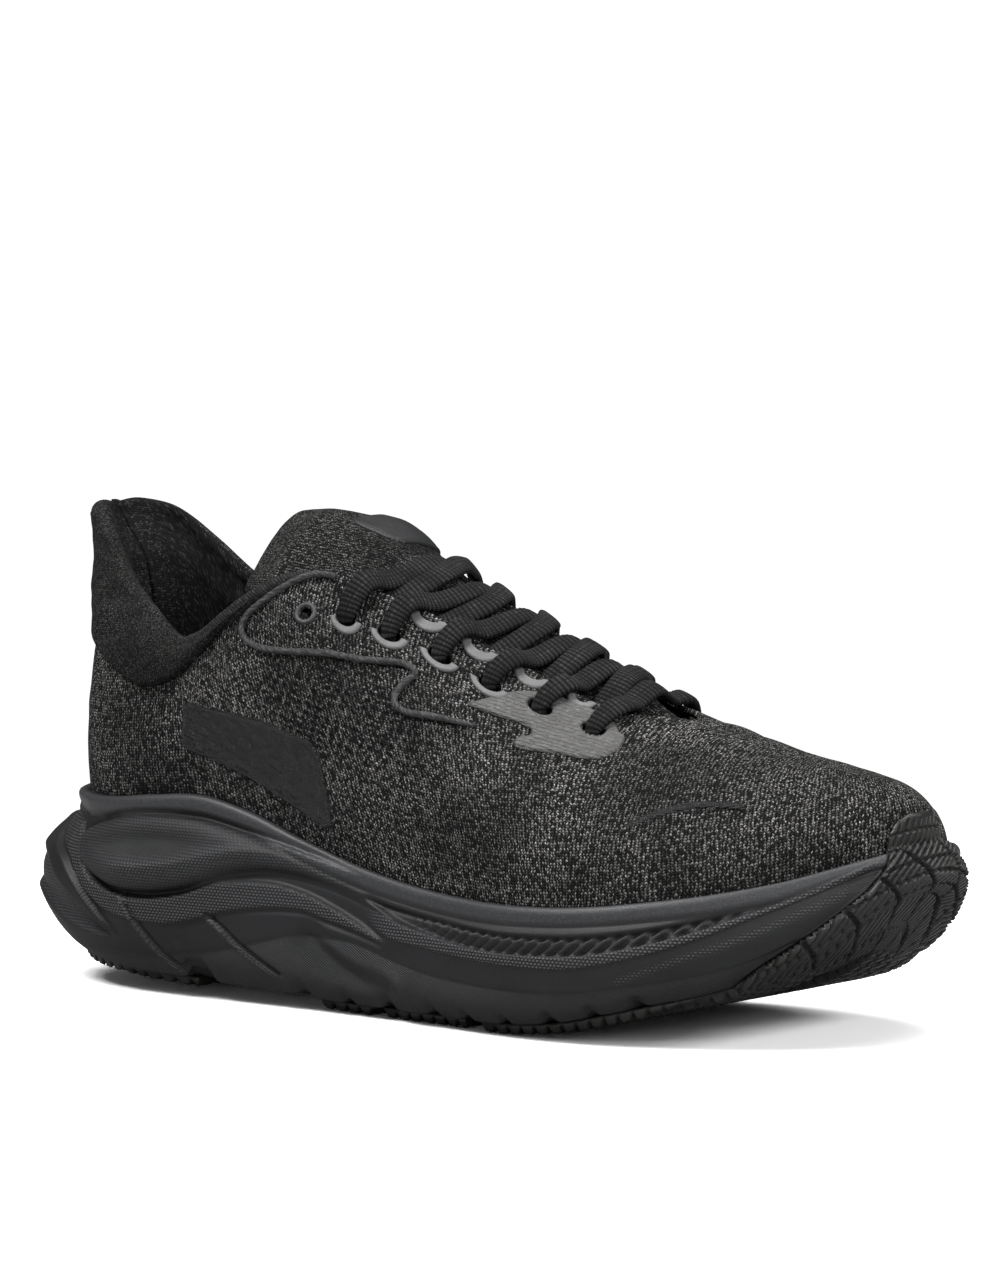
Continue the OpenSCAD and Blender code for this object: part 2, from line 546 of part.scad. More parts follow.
// ---- tongue
// a point of the face: back is -x, across runs from -1 (lateral) to 1 (medial)
function tongue_point(back, across) =
    let(
        row = at(TONGUE, back),
        x = row[0],
        a = abs(across),
        middle = [0, row[1]],
        edge = [row[2], row[3]],
        wing = [row[4], row[5]],
        p = a < .6 ? catmull([-edge[0], edge[1]], middle, edge, wing, a/.6)
            : catmull(middle, edge, wing, wing + (wing - edge), (a - .6)/.4),
        // the medial side rises towards the rear end
        rise = 11*smooth(-12, -42, x)*smooth(0, .55, max(across, 0))
            *(1 - .95*smooth(.5, .9, a))
    )
    [x, at(RIDGE_LINE, x)[0] + sign(across)*p[0], p[1] + rise];
function tongue_normal(back, across) = unit(cross(
    tongue_point(back + .3, across) - tongue_point(back - .3, across),
    tongue_point(back, across - .02) - tongue_point(back, across + .02)));
function above_tongue(back, across, shift) =
    tongue_point(back, across) + tongue_normal(back, across)*shift;
TONGUE_BACKS = [-80,-74,-66,-58,-49,-40,-30,-20,-10,0,9,18,28,38,48,55,60];
TONGUE_ACROSS = [-1,-.8,-.6,-.4,-.2,0,.2,.4,.6,.8,1];
module tongue_layer(outer, inner, backs=TONGUE_BACKS, acrosses=TONGUE_ACROSS) {
    layer = function(shift) [for (back = backs)
        [for (across = acrosses) above_tongue(back, across, shift)]];
    sheet(layer(inner), layer(outer));
}
module tongue_face() color(COVER_COLOR) tongue_layer(0, -1.2);
module tongue_foam() color(PADDING_COLOR) tongue_layer(-1.5, -1.5 - tongue_pad);
module tongue_lining() color(LINING_COLOR)
    tongue_layer(-1.8 - tongue_pad, -2.8 - tongue_pad);
module tongue_label() color(BADGE_COLOR)
    tongue_layer(.86, .4, [28,34,40,46], [.02,.14,.26,.38,.5,.6]);

// ---- lace
// One length crosses from side to side through six pairs of eyelets, up from under one edge
// and down into the other side's eyelet.
// A knot is a position, an outward direction, a half width and a half thickness.
LACE_BEHIND = -BEHIND_MESH - 1.6 - lace_t/2; // shift of the ends inside the quarters
LACE_LOW = lace_t/2 + .9;    // height of a crossing above the tongue
LACE_HIGH = lace_t*1.5 + 1.6; // and where it passes over another
// how far each crossing leans to the toe at the ridge, from eyelet 1 to 5, in eyelet pitches
LATERAL_LEAN = [.75,.75,.65,.55,.35];
MEDIAL_LEAN = [1.2,1.2,1.1,.95,.8];
function knot(s, row, shift, half_w, half_t) =
    concat(wall_point(s, row, shift), outward(s, row), [half_w, half_t]);
function eyelet_station(i, side) = on_side(EYELETS[i], side);
// out of an eyelet and over the edge of the throat
function over_edge(i, side) =
    let(s = eyelet_station(i, side))
    [knot(s, EYELET_MIDDLE - .017, 0, 1.4, .6),
     knot(s, .935, lace_t/2 + 1.4, lace_w/2 - .8, lace_t/2),
     knot(s, 1, lace_t/2 + 1.8, lace_w/2 - .3, lace_t/2)];
// a knot above the tongue, a fraction of the way from eyelet i to the next one
function tongue_knot(i, part, across, lift) =
    let(x = i < 6 ? at(TOP_EDGE, lerp(EYELETS[i], EYELETS[i+1], part))[0] : 56 + part)
    concat(above_tongue(-x, across, lift), tongue_normal(-x, across), [lace_w/2, lace_t/2]);
// crossing that comes from under the edge on one side and ends in eyelet i on the given side;
// the medial ends lie on top
function crossing(i, side) =
    let(
        a = eyelet_station(i, -side),
        b = eyelet_station(i + 1, -side),
        low = LATERAL_LEAN[i-1],
        high = MEDIAL_LEAN[i-1]
    )
    concat(
        [knot(lerp(a, b, .8), .93, -mesh_t - 1.2 - lace_t/2, lace_w/2 - 1.5, lace_t/2 - .1),
         knot(lerp(a, b, .6), 1, -mesh_t - .6 - lace_t/2, lace_w/2 - .8, lace_t/2)],
        side < 0
            ? [tongue_knot(i, .6, .65, LACE_LOW), tongue_knot(i, low*.5 + .3, .33, LACE_LOW),
               tongue_knot(i, low, 0, LACE_LOW + .6),
               tongue_knot(i, low*.3, -.45, LACE_LOW + 2.5)]
            : [tongue_knot(i, .62, -.6, LACE_LOW),
               tongue_knot(i, high*.92, -.12, LACE_LOW + .9),
               tongue_knot(i, high*.75, .22, LACE_HIGH),
               tongue_knot(i, .14, .5, LACE_HIGH + 1.6)],
        reverse(over_edge(i, side)));
function strand(side) =
    [for (i = [5:-1:1]) each crossing(i, (5 - i)%2 == 0 ? -side : side)];
// end of the lace inside a quarter; columns: half station, row, half width
function tail(side) = [for (q = [[5.71,.862,1.5],[5.56,.885,1.6],[5.42,.89,1.5],[5.36,.872,1.4]])
    knot(on_side(q[0], side), q[1], LACE_BEHIND, q[2], lace_t/2 - .1)];
// straight crossing between the two eyelets nearest the toe
BAR = concat(over_edge(6, LATERAL),
    [tongue_knot(6, .4, -.35, LACE_LOW + 2), tongue_knot(6, 1.2, 0, LACE_LOW + 1.6),
     tongue_knot(6, .4, .35, LACE_LOW + 2)],
    reverse(over_edge(6, MEDIAL)));
LACE_KNOTS = concat(reverse(concat(strand(LATERAL), tail(MEDIAL))), BAR,
    strand(MEDIAL), tail(LATERAL));
module lace() {
    knots = refine(LACE_KNOTS);
    color(LACE_COLOR) tube([for (q = knots) [q[0], q[1], q[2]]],
        [for (q = knots) [q[3], q[4], q[5]]], [for (q = knots) q[6]], [for (q = knots) q[7]]);
}
// moulded tips of the lace, tucked down inside the quarters
module tip(side) {
    s = on_side(5.36, side);
    start = wall_point(s, .855, LACE_BEHIND);
    reach = wall_point(s, .75, LACE_BEHIND) - start;
    length = norm(reach);
    radius = 1.2;
    color(TIP_COLOR) translate(start)
        rotate([0, acos(reach[2]/length), atan2(reach[1], reach[0])])
        union() {
            cylinder(h=length*.8, r=radius, $fn=0, $fa=10, $fs=.3);
            translate([0, 0, length*.8])
                cylinder(h=length*.2, r1=radius, r2=.7, $fa=10, $fs=.3);
        }
}
module lace_tip_lateral() tip(LATERAL);
module lace_tip_medial() tip(MEDIAL);

midsole();
outsole_heel_lateral();
outsole_heel_medial();
outsole_mid_lateral_1();
outsole_mid_lateral_2();
outsole_mid_medial();
outsole_forefoot_lateral();
outsole_forefoot_medial();
outsole_toe();
strobel_board();
sockliner_foam();
sockliner_cover();
upper_mesh();
upper_lining();
toe_puff();
heel_counter();
collar_foam();
collar_lining();
heel_cover_lateral();
heel_cover_medial();
tab_cover();
tab_foam();
tab_lining();
collar_binding_lateral();
collar_binding_medial();
film_lateral_0();
film_lateral_1();
film_lateral_2();
film_lateral_3();
film_lateral_4();
film_medial_0();
film_medial_1();
film_medial_2();
film_medial_3();
film_medial_4();
throat_film_lateral();
throat_film_medial();
piping_lateral();
piping_medial();
toe_accent();
side_emblem_lateral();
side_emblem_medial();
tongue_face();
tongue_foam();
tongue_lining();
tongue_label();
lace();
lace_tip_lateral();
lace_tip_medial();
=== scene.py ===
# Running shoe: foam sole, rubber tread, knit upper, padded heel, tongue, lace and inner pieces,
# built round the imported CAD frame. Shapes are in millimetres, the scene is in metres.
# +X points to the toe, -Y is the lateral side, +Y the medial side, +Z is up.
#
# Words used for places:
#   lap     position round the shoe, 0 at the heel, 11 at the toe, 22 back at the heel
#   half    lap folded so that both sides share 0 (heel) to 11 (toe)
#   rise    0 at the feather line (lower edge of the upper), 1 at the top edge
#   wall    0 at the bottom edge of the foam's side wall, 1 at its rim
#   run     distance round the sole outline from the heel, the same on both sides
#   side    -1 lateral, 1 medial
#   across  -1 at the lateral edge of the tongue, 1 at the medial edge
# Mesh attributes: tx is a chart position in mm, mk holds masks for the materials.
import math
from types import SimpleNamespace

import bpy
import bmesh
import numpy as np
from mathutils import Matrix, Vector
from mathutils.geometry import delaunay_2d_cdt

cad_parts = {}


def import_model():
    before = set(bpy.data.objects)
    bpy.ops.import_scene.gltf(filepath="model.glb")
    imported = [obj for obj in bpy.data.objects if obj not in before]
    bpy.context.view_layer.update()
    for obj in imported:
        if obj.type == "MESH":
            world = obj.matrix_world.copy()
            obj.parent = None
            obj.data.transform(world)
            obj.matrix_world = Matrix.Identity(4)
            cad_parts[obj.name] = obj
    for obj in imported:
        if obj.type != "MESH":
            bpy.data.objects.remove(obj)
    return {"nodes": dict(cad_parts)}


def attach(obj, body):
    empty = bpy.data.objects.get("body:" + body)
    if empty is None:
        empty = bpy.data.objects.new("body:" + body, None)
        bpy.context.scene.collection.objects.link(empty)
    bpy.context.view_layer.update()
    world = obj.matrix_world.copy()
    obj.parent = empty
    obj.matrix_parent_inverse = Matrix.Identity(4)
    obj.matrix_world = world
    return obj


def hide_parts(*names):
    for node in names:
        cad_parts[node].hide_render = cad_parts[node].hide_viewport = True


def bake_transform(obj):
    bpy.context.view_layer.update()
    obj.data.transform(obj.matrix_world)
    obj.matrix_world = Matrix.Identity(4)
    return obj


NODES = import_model()["nodes"]
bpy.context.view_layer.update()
MM = 0.001
SIDES = ((-1, "lateral"), (1, "medial"))

# ---------------------------------------------------------------- shape tables
# Sole outline seen from above: (x, y), one point per unit of lap.
OUTLINE = [
    (-150, 0), (-144, -21), (-127, -36), (-98, -44.5), (-62, -46), (-22, -46.5),
    (18, -51), (54, -55.5), (86, -52), (115, -38.5), (137, -16), (147.35, 9),
    (143, 33), (125, 50.2), (95, 55.3), (60, 53.6), (22, 47), (-18, 42),
    (-58, 42), (-96, 41.5), (-126, 34.5), (-144, 20)]
LAPS = len(OUTLINE)
TOE = LAPS // 2
# Sole heights: (x, rim z, footbed z, lift of the bottom).
LEVELS = [
    (-150, 56.3, 39.8, 21), (-140, 55.8, 39.8, 11), (-125, 55.3, 39.3, 6.5),
    (-105, 55.3, 38.8, 4.4), (-85, 57.3, 37.8, 3.2), (-66, 58.3, 36.3, 2.4),
    (-48, 54.8, 34.8, 1.5), (-30, 48.6, 32.8, 0.6), (-11, 43.1, 31.3, 0),
    (8, 39.4, 29.8, 0), (27, 37.2, 28.3, 0), (46, 36.4, 27.6, 0.2), (64, 36.8, 27.8, 1.8),
    (80, 38, 28.8, 5), (93, 39.6, 30, 8), (106, 41.4, 31.8, 11), (116, 43.2, 33.8, 14),
    (126, 45.6, 36.3, 18.8), (134, 48.4, 38.8, 24.5), (141, 51.2, 41.3, 31.5),
    (150, 54.8, 43.8, 40.5)]
# Top edge of the upper: (half, x, half width, z, direction x, y, z of the wall going down,
# length of the top handle, length of the bottom handle).
TOP_EDGE = [
    (0, -134.5, 0, 136.8, 0.5, 0, -0.87, 40, 36),
    (0.7, -131, 9.5, 138.3, 0.42, -0.12, -0.92, 40, 36),
    (1.3, -122.5, 17, 135.8, 0.28, -0.2, -0.93, 36, 33),
    (2, -112.5, 22, 127.3, 0.12, -0.3, -0.95, 30, 30),
    (2.7, -101.5, 27, 116.3, 0.02, -0.35, -0.94, 24, 26),
    (3.2, -91, 30.5, 108.8, 0, -0.33, -0.94, 20, 22),
    (3.7, -80, 32.5, 101.3, 0, -0.3, -0.95, 17, 20),
    (4.1, -72, 33, 102.3, 0, -0.3, -0.95, 18, 20),
    (4.5, -62, 33, 108.8, 0, -0.32, -0.95, 22, 22),
    (4.9, -50, 32, 116.8, 0, -0.38, -0.92, 26, 24),
    (5.3, -38, 29, 121.8, 0, -0.5, -0.87, 30, 26),
    (5.6, -28, 25, 121.3, 0, -0.62, -0.78, 30, 28),
    (5.9, -18, 21.5, 117.3, 0, -0.68, -0.73, 28, 28),
    (6.3, 0, 18.5, 110.3, 0, -0.74, -0.67, 26, 28),
    (6.7, 20, 18, 101.1, 0, -0.78, -0.62, 25, 27),
    (7.1, 40, 16.5, 93.1, 0, -0.84, -0.54, 25, 24),
    (7.5, 58, 13.5, 86.6, 0.05, -0.9, -0.43, 26, 20),
    (7.8, 68, 7.5, 85.3, 0.1, -0.97, -0.25, 28, 18),
    (8, 74, 0, 84.1, 0.05, -1, -0.05, 30, 17),
    (8.5, 84, 0, 81.1, 0.05, -1, -0.02, 30, 15),
    (9, 97, 0, 77.4, 0.12, -0.99, 0, 29, 14),
    (9.5, 109, 0, 74.8, 0.3, -0.95, 0, 26, 13.5),
    (10, 119, 0, 73.1, 0.58, -0.81, -0.03, 22, 13),
    (10.5, 126, 0, 72, 0.86, -0.5, -0.06, 17, 13),
    (11, 130, 0, 71.2, 1, 0, -0.08, 15, 13)]
# Centre line: (x, y).
CENTRE = [(-150, 0), (-60, 0), (-20, 2), (20, 4), (74, 6), (110, 8), (150, 10)]
# Feather line: (half, distance in from the outline).
FEATHER = [(0, 21.5), (1, 19.8), (2, 14), (3, 9.5), (4, 7.6), (6, 7.0), (8, 6.8), (9, 6.0),
           (10, 4.9), (11, 4.6)]
# Side wall sections along the middle, the heel and the toe: (wall, distance in).
WALL_MIDDLE = [(0, 6.5), (0.06, 3.8), (0.15, 1.8), (0.3, 0.5), (0.45, 0), (0.6, 0.6),
               (0.75, 2.2), (0.9, 4.2), (1, 5.2)]
WALL_HEEL = [(0, 16), (0.08, 9), (0.2, 3.5), (0.32, 0.5), (0.42, 0), (0.5, 1.2), (0.6, 4.2),
             (0.72, 9), (0.86, 13.5), (1, 17.5)]
WALL_TOE = [(0, 7), (0.1, 4.5), (0.25, 1.6), (0.45, 0), (0.6, 0), (0.8, 0.8), (0.9, 1.6),
            (1, 2.6)]
# Tongue sections: (x, z of the crown, half width and z at |across| 0.6, the same at the edge).
TONGUE = [
    (-60, 136.3, 23.5, 119.3, 25, 111.8), (-48, 135.1, 24, 119.3, 25.8, 111.3),
    (-38, 132.1, 23, 118.8, 26, 110.8), (-28, 128.1, 20.3, 117.6, 25.5, 110.3),
    (-18, 123.3, 17.2, 113.3, 23.3, 106.8), (0, 115.1, 14.5, 105.9, 21.2, 99.8),
    (20, 106.3, 14.3, 96.5, 21.5, 90.8), (40, 97.3, 13.3, 88.2, 20.9, 83.3),
    (58, 88.8, 11, 81.3, 19, 77.4), (70, 81.6, 10, 78.8, 18, 74.8),
    (80, 76.8, 10, 75.8, 17, 72.3)]
# Lower edge of the padded heel cloth: (half, rise).
WRAP_EDGE = [(0, 0.592), (1.2, 0.594), (1.8, 0.600), (2.3, 0.612), (2.75, 0.618),
             (3.05, 0.600), (3.3, 0.62), (3.53, 0.69), (3.75, 0.78), (3.95, 0.85),
             (4.28, 0.917), (4.53, 0.95), (4.9, 0.965)]
# Toe rubber: (height label, reach back from the tip); the sole rim is at label 45.
RIM_LABEL = 45
TOE_REACH = [(-15, 60), (0, 57), (6, 50), (12, 38.5), (18, 28), (24, 20.5), (34, 15), (43, 13),
             (47.5, 12.5), (52, 12.5), (58, 11.8), (63, 9.6), (66, 6.2), (68, 2.5)]

EYELETS = [5.38, 5.72, 6.05, 6.39, 6.73, 7.06, 7.42]  # half position of each eyelet
EYELET_RISE = 0.86
THROAT_END = 8.0        # half where the throat closes
KNIT_DEPTH = 1.8        # depth of the lining's face and the lace ends under the upper
SOLE_GAP = 3.3          # foam above the ground, filled by the tread
LACE_WIDTH, LACE_THICKNESS = 7.2, 2.2


# ---------------------------------------------------------------- curves
def hermite(table, at):
    """Values of a smooth curve through rows (position, values...), held beyond the ends."""
    table = np.array(table, float)
    knots, vals = table[:, 0], table[:, 1:]
    slope = np.zeros_like(vals)
    slope[1:-1] = (vals[2:] - vals[:-2]) / (knots[2:] - knots[:-2])[:, None]
    slope[0] = (vals[1] - vals[0]) / (knots[1] - knots[0])
    slope[-1] = (vals[-1] - vals[-2]) / (knots[-1] - knots[-2])
    at = np.clip(np.ravel(np.asarray(at, float)), knots[0], knots[-1])
    i = np.clip(np.searchsorted(knots, at, side="right") - 1, 0, len(knots) - 2)
    gap = knots[i + 1] - knots[i]
    t = ((at - knots[i]) / gap)[:, None]
    gap = gap[:, None]
    return ((2*t**3 - 3*t**2 + 1) * vals[i] + (t**3 - 2*t**2 + t) * gap * slope[i]
            + (-2*t**3 + 3*t**2) * vals[i + 1] + (t**3 - t**2) * gap * slope[i + 1])


def curve(table, at):
    """First value column of a table, in the shape of `at`."""
    return hermite(table, at)[:, 0].reshape(np.shape(at))


def catmull(before, start, end, after, t):
    return 0.5 * ((2*start) + (-before + end) * t + (2*before - 5*start + 4*end - after) * t * t
                  + (-before + 3*start - 3*end + after) * t**3)


def spline(points, step=None, count=None, closed=False):
    """Smooth line through points, with points about `step` apart or `count` per span."""
    pts = np.asarray(points, float)
    if closed:
        ext = np.concatenate([pts[-1:], pts, pts[:2]])
    else:
        ext = np.concatenate([pts[:1], pts, pts[-1:]])
    out = []
    for before, start, end, after in zip(ext, ext[1:], ext[2:], ext[3:]):
        n = count or max(1, int(round(np.linalg.norm(end - start) / step)))
        out += [catmull(before, start, end, after, t) for t in np.arange(n) / n]
    return np.array(out if closed else out + [pts[-1]])


def unit(vec):
    return vec / np.maximum(np.linalg.norm(vec, axis=-1)[..., None], 1e-9)


def ramp(start, end, x):
    """Smooth step from 0 at start to 1 at end; start may be the larger."""
    t = np.clip((x - start) / (end - start), 0, 1)
    return t * t * (3 - 2 * t)


def between(x, start, full, fade, end):
    """Smooth window: 0 before start, 1 from full to fade, 0 after end."""
    return ramp(start, full, x) * ramp(end, fade, x)


def bell(x, width):
    return np.exp(-(x / width) ** 2)


def saw(x):
    """1 at whole numbers, 0 halfway between them."""
    return np.abs(x - np.floor(x) - 0.5) * 2


def round_edge(x):
    """Quarter-circle rise from 0 at x = 0 to 1 at x = 1."""
    return np.sqrt(np.clip(1 - (1 - np.clip(x, 0, 1)) ** 2, 0, 1))


def steps_along(pts):
    """Distance travelled along a line of points."""
    return np.r_[0, np.cumsum(np.linalg.norm(np.diff(pts, axis=0), axis=1))]


def surface_normals(pts):
    return unit(np.cross(np.gradient(pts, axis=0), np.gradient(pts, axis=1)))


def noise_mm(pts, seed, scale):
    """Smooth repeatable noise in about -1..1."""
    rng = np.random.default_rng(seed)
    out = np.zeros(pts.shape[:-1])
    for _ in range(7):
        way = unit(rng.normal(size=3))
        turn = pts @ way * (2 * math.pi / scale) * rng.uniform(0.6, 1.7)
        out += np.sin(turn + rng.uniform(0, 6.28))
    return out / 3.2


def soft(pts, seed=3, size=0.22, scale=26):
    """Slight unevenness of stretched cloth."""
    return size * noise_mm(pts, seed, scale) + size * 0.4 * noise_mm(pts, seed + 9, scale * 0.4)


# ---------------------------------------------------------------- the shoe's surfaces
def outline(lap):
    """Point and outward normal of the sole outline."""
    pts = np.array(OUTLINE, float)
    lap = np.asarray(lap, float) % LAPS
    i = np.floor(lap).astype(int)
    t = (lap - i)[..., None]
    p0, p1, p2, p3 = (pts[(i + step) % LAPS] for step in (-1, 0, 1, 2))
    way = unit((-p0 + p2) + 2 * (2*p0 - 5*p1 + 4*p2 - p3) * t
               + 3 * (-p0 + 3*p1 - 3*p2 + p3) * t * t)
    return catmull(p0, p1, p2, p3, t), np.stack([way[..., 1], -way[..., 0]], -1)


def fold(lap):
    """(half, side) of a lap."""
    lap = np.asarray(lap, float) % LAPS
    return np.where(lap <= TOE, lap, LAPS - lap), np.where(lap <= TOE, -1.0, 1.0)


def lap_on(half, side):
    return half if side < 0 else LAPS - half


def centre_y(x):
    return curve(CENTRE, x)


def bed_z(x):
    return hermite(LEVELS, x)[:, 1]


def bottom_z(x):
    return np.maximum(hermite(LEVELS, x)[:, 2], 0) + SOLE_GAP


def feather(lap, inward=0.0):
    """Point of the feather line seen from above, or a line further in."""
    edge, out = outline(lap)
    return edge - out * (curve(FEATHER, fold(lap)[0]) + inward)[:, None]


def lip_height(lap):
    """Height of the sole rim over the footbed."""
    level = hermite(LEVELS, feather(lap)[:, 0])
    return level[:, 0] - level[:, 1]


def upper(lap, rise):
    """Point of the upper's surface."""
    lap, rise = np.broadcast_arrays(np.asarray(lap, float), np.asarray(rise, float))
    shape = lap.shape
    lap, rise = lap.ravel(), rise.ravel()[:, None]
    half, side = fold(lap)
    base = feather(lap)
    base = np.c_[base, curve(LEVELS, base[:, 0]) - 3.0]
    row = hermite(TOP_EDGE, half)
    width = np.where(half >= THROAT_END, 0, np.maximum(row[:, 1], 0))
    top = np.c_[row[:, 0], centre_y(row[:, 0]) + side * width, row[:, 2]]
    down = unit(np.c_[row[:, 3], -side * row[:, 4], row[:, 5]])
    up = unit(np.c_[outline(lap)[1] * 0.16, np.ones(len(lap))])
    low, high = base + up * row[:, 7:8], top + down * row[:, 6:7]
    pts = (base * (1-rise)**3 + 3 * low * rise * (1-rise)**2
           + 3 * high * rise * rise * (1-rise) + top * rise**3)
    return pts.reshape(shape + (3,))


def upper_normal(lap, rise):
    lap, rise = np.broadcast_arrays(np.asarray(lap, float), np.asarray(rise, float))
    round_way = upper(lap + 5e-3, rise) - upper(lap - 5e-3, rise)
    up_way = upper(lap, np.clip(rise + 2e-3, 0, 1)) - upper(lap, np.clip(rise - 2e-3, 0, 1))
    half = fold(lap)[0]
    back, ahead = (hermite(TOP_EDGE, half + step).reshape(half.shape + (8,))
                   for step in (-0.05, 0.05))
    # the sides meet along the ridge ahead of the throat, which has its own normal
    ridge = unit(np.stack([back[..., 2] - ahead[..., 2], 0 * half,
                           ahead[..., 0] - back[..., 0]], -1))
    on_ridge = ((rise >= 0.9999) & (half >= THROAT_END))[..., None]
    return np.where(on_ridge, ridge, unit(np.cross(round_way, up_way)))


def lift(lap, rise, out):
    """Point of the upper moved outward."""
    return upper(lap, rise) + upper_normal(lap, rise) * np.asarray(out, float)[..., None]


def wall_at(lap, wall, out=0.0):
    """Point of the foam's side wall, moved outward."""
    lap, wall = np.broadcast_arrays(np.asarray(lap, float), np.asarray(wall, float))
    shape = lap.shape
    lap, wall = lap.ravel(), wall.ravel()
    edge, normal = outline(lap)
    half = fold(lap)[0]
    heel, toe = ramp(3.2, 0.6, half), ramp(8.3, 10.4, half)
    inward = (curve(WALL_MIDDLE, wall) * (1 - heel) * (1 - toe) + curve(WALL_HEEL, wall) * heel
              + curve(WALL_TOE, wall) * toe)
    flat = edge - normal * (inward - np.broadcast_to(out, shape).ravel())[:, None]
    low = bottom_z(edge[:, 0])
    z = low + wall * (curve(LEVELS, edge[:, 0]) - low)
    return np.c_[flat, z].reshape(shape + (3,))


def wall_normal(lap, wall):
    step = 4e-3
    round_way = wall_at(lap + step, wall) - wall_at(lap - step, wall)
    up_way = (wall_at(lap, np.clip(wall + step, 0, 1))
              - wall_at(lap, np.clip(wall - step, 0, 1)))
    return unit(np.cross(round_way, up_way))


def bed(lap, inward, above):
    """Point over the footbed, measured in from the feather line and up."""
    return np.c_[feather(lap, inward), bed_z(feather(lap)[:, 0]) + above]


def spine(x, back, front):
    """Points of the centre line at x, held between back and front."""
    x = np.clip(x, back, front)
    return np.c_[x, centre_y(x)]


def tongue_at(x, across):
    """Point of the tongue's face."""
    x, across = np.broadcast_arrays(np.asarray(x, float), np.asarray(across, float))
    shape = x.shape
    x, across = x.ravel(), across.ravel()
    row = hermite(TONGUE, x)
    size, side = np.abs(across), np.sign(across)
    crown = np.c_[0 * x, row[:, 0]]
    knee, edge = row[:, 1:3], row[:, 3:5]
    near = catmull(knee * [-1, 1], crown, knee, edge, (size / 0.6)[:, None])
    far = catmull(crown, knee, edge, 2 * edge - knee, ((size - 0.6) / 0.4)[:, None])
    sect = np.where((size < 0.6)[:, None], near, far)
    # the top of the tongue stands higher on the medial half
    extra = (11 * ramp(-12, -42, x) * ramp(0, 0.55, np.maximum(across, 0))
             * (1 - 0.95 * ramp(0.5, 0.9, size)))
    return np.c_[x, centre_y(x) + side * sect[:, 0], sect[:, 1] + extra].reshape(shape + (3,))


def tongue_normal(x, across):
    long_way = tongue_at(x - 0.3, across) - tongue_at(x + 0.3, across)
    cross_way = tongue_at(x, across - 0.02) - tongue_at(x, across + 0.02)
    return unit(np.cross(long_way, cross_way))


# ---------------------------------------------------------------- charts
RUN_HALF = np.linspace(0, TOE, 2201)
RUN = steps_along(outline(RUN_HALF)[0])
CHART_N, CHART_K = 220, 60
CHART_HALF = np.linspace(0, TOE, CHART_N + 1)
_grid = upper(*np.meshgrid(CHART_HALF, np.linspace(0, 1, CHART_K + 1), indexing="ij"))
CHART_UP = np.c_[np.zeros(CHART_N + 1),
                 np.cumsum(np.linalg.norm(np.diff(_grid, axis=1), axis=2), axis=1)]
CHART_ALONG = steps_along(_grid[:, 22])


def run_at(lap):
    return np.interp(fold(lap)[0], RUN_HALF, RUN)


TOE_RUN = float(run_at(TOE))


def chart(lap, rise):
    """(distance round, height along the wall) on the upper, mirrored on the two sides."""
    half = fold(lap)[0]
    col = np.clip(half / TOE * CHART_N, 0, CHART_N - 0.001)
    row = np.clip(np.asarray(rise, float) * CHART_K, 0, CHART_K - 0.001)
    i, j = col.astype(int), row.astype(int)
    fi, fj = col - i, row - j
    height = (CHART_UP[i, j] * (1-fi) * (1-fj) + CHART_UP[i+1, j] * fi * (1-fj)
              + CHART_UP[i, j+1] * (1-fi) * fj + CHART_UP[i+1, j+1] * fi * fj)
    return np.interp(half, CHART_HALF, CHART_ALONG), height


def flat(x, y):
    """Chart positions from two coordinates."""
    return np.stack([x, y, 0 * x], -1)


def masks(red, green=0.0, blue=0.0):
    return np.stack(np.broadcast_arrays(red, green, blue, 1.0), -1)


# ---------------------------------------------------------------- meshes
def make(name, pts, quads, mat, tx=None, mk=None, tris=(), merge=0.0, recalc=False):
    mesh = bpy.data.meshes.new(name)
    faces = np.asarray(quads).tolist() + np.asarray(tris).tolist()
    mesh.from_pydata((np.asarray(pts, float) * MM).tolist(), [], faces)
    mesh.update()
    if tx is not None:
        attr = mesh.attributes.new("tx", "FLOAT_VECTOR", "POINT")
        attr.data.foreach_set("vector", np.asarray(tx, np.float32).ravel())
    if mk is not None:
        attr = mesh.attributes.new("mk", "FLOAT_COLOR", "POINT")
        attr.data.foreach_set("color", np.asarray(mk, np.float32).ravel())
    if merge > 0 or recalc:
        tidy(mesh, merge, recalc)
    mesh.polygons.foreach_set("use_smooth", [True] * len(mesh.polygons))
    mesh.materials.append(mat)
    obj = bpy.data.objects.new(name, mesh)
    bpy.context.scene.collection.objects.link(obj)
    return obj


def tidy(mesh, merge, recalc):
    """Merge close points, drop loose ones and turn the faces outward."""
    work = bmesh.new()
    work.from_mesh(mesh)
    if merge > 0:
        bmesh.ops.remove_doubles(work, verts=work.verts, dist=merge * MM)
    loose = [vert for vert in work.verts if not vert.link_faces]
    if loose:
        bmesh.ops.delete(work, geom=loose, context="VERTS")
    if recalc:
        bmesh.ops.recalc_face_normals(work, faces=work.faces)
    work.to_mesh(mesh)
    work.free()


def paired(name, outer, inner, quads, mat, tris=(), tx=None, mk=None, **options):
    """Piece whose points are an outer set, then a matching inner set; unused points go."""
    tris = np.asarray(tris, int).reshape(-1, 3)
    pts = np.concatenate([outer.reshape(-1, 3), inner.reshape(-1, 3)])
    used = np.zeros(len(pts), bool)
    used[quads.ravel()] = True
    used[tris.ravel()] = True
    index = np.cumsum(used) - 1

    def both(data):
        if data is None:
            return None
        return np.concatenate([data.reshape(-1, data.shape[-1])] * 2)[used]

    return make(name, pts[used], index[quads], mat, both(tx), both(mk), index[tris], **options)


